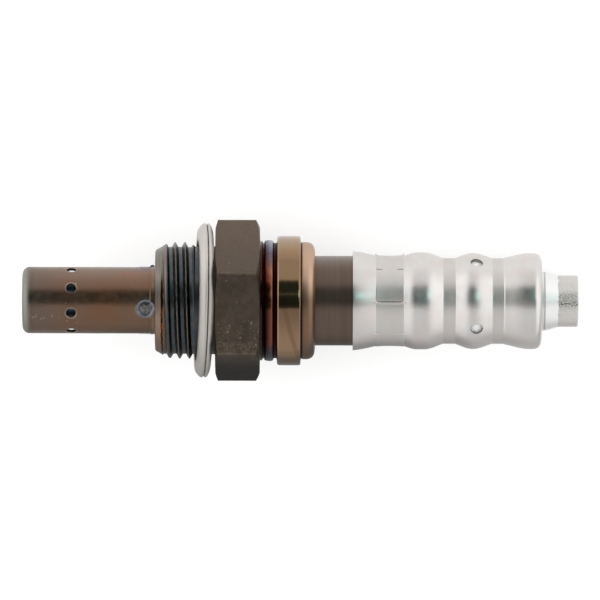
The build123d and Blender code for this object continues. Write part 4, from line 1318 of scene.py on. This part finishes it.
def white_world():
    """A white surround for the camera and for reflections: dimmer towards -Y, brighter at the sides."""
    world = bpy.data.worlds.new("surround")
    bpy.context.scene.world = world
    world.use_nodes = True
    tree = world.node_tree
    back = tree.nodes["Background"]

    def node(kind, **settings):
        made = tree.nodes.new(kind)
        for key, value in settings.items():
            setattr(made, key, value)
        return made

    def calc(operation, *values):
        made = node("ShaderNodeMath", operation=operation)
        for value, socket in zip(values, made.inputs):
            tree.links.new(value, socket)
        return made.outputs[0]

    def span(value, *stops):
        made = node("ShaderNodeMapRange", interpolation_type="SMOOTHSTEP")
        tree.links.new(value, made.inputs[0])
        for socket, stop in zip(made.inputs[1:5], stops):
            socket.default_value = stop
        return made.outputs[0]

    parts = node("ShaderNodeSeparateXYZ")
    tree.links.new(node("ShaderNodeTexCoord").outputs["Generated"], parts.inputs[0])
    fade = span(parts.outputs[1], -1.0, 1.0, 0.8, 1.0)
    sides = span(calc("ABSOLUTE", parts.outputs[0]), 0.3, 0.62, 1.0, 1.6)
    rays = node("ShaderNodeLightPath").outputs
    level = node("ShaderNodeMix", data_type="FLOAT")
    tree.links.new(calc("MAXIMUM", rays["Is Camera Ray"], rays["Is Transmission Ray"]), level.inputs["Factor"])
    tree.links.new(calc("MULTIPLY", fade, sides), level.inputs[2])
    level.inputs[3].default_value = 1.0
    back.inputs["Color"].default_value = (1, 1, 1, 1)
    tree.links.new(level.outputs[0], back.inputs["Strength"])


class SENSOR_OT_stage(bpy.types.Operator):
    """Sets the floor, the cards that the metal mirrors, the lamps, the surround and the camera"""

    bl_idname = "sensor.stage"
    bl_label = "Stage"

    def execute(self, context):
        settings = context.scene.sensor_stage
        gasket_low, _ = limits("sealing_gasket")
        _, cover_high = limits("outer_cover")
        gasket_x, crest_back, crest_low = -2.6, 1.83, -7.43
        front = Vector((gasket_x, 0, gasket_low.z - 0.03)) * MM
        rear = Vector((cover_high.x - crest_back, 0, crest_low)) * MM
        along = (rear - front).normalized()
        reach = 2.2
        floor = [front + along * a + Vector((0, b, 0)) for a, b in
                 ((-reach, -reach), (reach, -reach), (reach, reach), (-reach, reach))]
        card("floor", floor, paper_look(settings))

        lean = settings.lean
        up = Vector((0, math.cos(lean), -math.sin(lean)))
        back = Vector((0, math.sin(lean), math.cos(lean)))
        middle = Vector((settings.centre, 0, 0))
        far = settings.card_distance

        dark = emitter("dark_card", (58, 70, 68), 1.0)
        slit = emitter("slit", (150, 170, 160), 1.0)
        side = emitter("teal_card", (72, 88, 86), 1.0)
        window = emitter("window", (176, 242, 236), 3.2)
        teal_shade = emitter("teal_shade", (84, 104, 102), 1.0)
        # The edges of each card, as angles seen from the sensor: lower, upper, tip side and cable side.
        cards = (
            ("card_lower", dark, (-14, 10.3, -32, 16.5)),
            ("card_upper", dark, (12.7, 36.5, -32, 16.5)),
            ("card_slit", slit, (10.3, 12.7, -32, 16.5)),
            ("card_side", side, (-14, 6, 16.5, 29)),
            ("card_window", window, (6, 18, 16.5, 25)),
            ("card_shade", teal_shade, (18, 30, 16.5, 23)),
        )
        for name, look, edges in cards:
            a, b, c, d = (math.tan(math.radians(v)) * far for v in edges)
            centre = middle + back * far
            corners = [centre + Vector((x, 0, 0)) + up * y for x, y in ((c, a), (d, a), (d, b), (c, b))]
            only_reflected(card(name, corners, look))

        # A painted shadow: a dim card just above the floor on the lower side, which only reflections see.
        shade = front + Vector((0, -0.011, 0.0004))
        shadow_flag = [shade + along * a + Vector((0, b, 0)) for a, b in
                ((-0.3, -1.6), (0.34, -1.6), (0.34, 0), (-0.3, 0))]
        only_reflected(card("shadow_flag", shadow_flag, floor_shadow_look()))

        big, small, warm = (2.2, 1.3), (1.4, 0.9), (255, 254, 250)
        lamps = (
            ("left", (-1.35, 0.15, 0.85), big, settings.key, warm),
            ("right", (1.35, 0.15, 0.85), big, settings.key, warm),
            ("above", (0.0, 1.2, 1.3), small, settings.fill, (255, 255, 255)),
        )
        for name, place, size, power, rgb in lamps:
            lamp(name, middle + Vector(place), middle, size, power, rgb).visible_glossy = False
        white_world()

        camera = bpy.data.cameras.new("camera")
        camera.sensor_width = 36.0
        camera.lens = camera.sensor_width * settings.distance / settings.width
        camera.clip_start = 0.05
        camera.clip_end = 20.0
        holder = bpy.data.objects.new("camera", camera)
        holder.location = middle + back * settings.distance + up * settings.rise
        holder.rotation_mode = "QUATERNION"
        basis = Matrix((Vector((1, 0, 0)), up, back)).transposed()
        holder.rotation_quaternion = (basis @ Matrix.Rotation(settings.roll, 3, "Z")).to_quaternion()
        context.scene.collection.objects.link(holder)
        context.scene.camera = holder
        context.scene.view_settings.view_transform = "Standard"
        return {"FINISHED"}


class SENSOR_PT_panel(bpy.types.Panel):
    """Lists the steps that build the sensor"""

    bl_label = "Oxygen Sensor"
    bl_idname = "SENSOR_PT_panel"
    bl_space_type = "VIEW_3D"
    bl_region_type = "UI"
    bl_category = "Sensor"

    def draw(self, context):
        for step in STEPS:
            self.layout.operator(f"sensor.{step}")


STEPS = ("housing", "gasket", "protector", "casing", "cover", "ferrule", "inside", "stage")
SETTINGS = {
    "sensor_housing": HousingSettings,
    "sensor_gasket": GasketSettings,
    "sensor_protector": ProtectorSettings,
    "sensor_cover": CoverSettings,
    "sensor_ferrule": FerruleSettings,
    "sensor_stage": StageSettings,
}
OPERATORS = (
    SENSOR_OT_housing,
    SENSOR_OT_gasket,
    SENSOR_OT_protector,
    SENSOR_OT_casing,
    SENSOR_OT_cover,
    SENSOR_OT_ferrule,
    SENSOR_OT_inside,
    SENSOR_OT_stage,
    SENSOR_PT_panel,
)


def register():
    """Makes the settings, operators and panel known to Blender."""
    for name, group in SETTINGS.items():
        bpy.utils.register_class(group)
        setattr(bpy.types.Scene, name, bpy.props.PointerProperty(type=group))
    for item in OPERATORS:
        bpy.utils.register_class(item)


def unregister():
    """Takes them away again."""
    for item in reversed(OPERATORS):
        bpy.utils.unregister_class(item)
    for name, group in SETTINGS.items():
        delattr(bpy.types.Scene, name)
        bpy.utils.unregister_class(group)


def main():
    """Runs every step in order."""
    register()
    for step in STEPS:
        getattr(bpy.ops.sensor, step)()


if __name__ == "__main__":
    main()
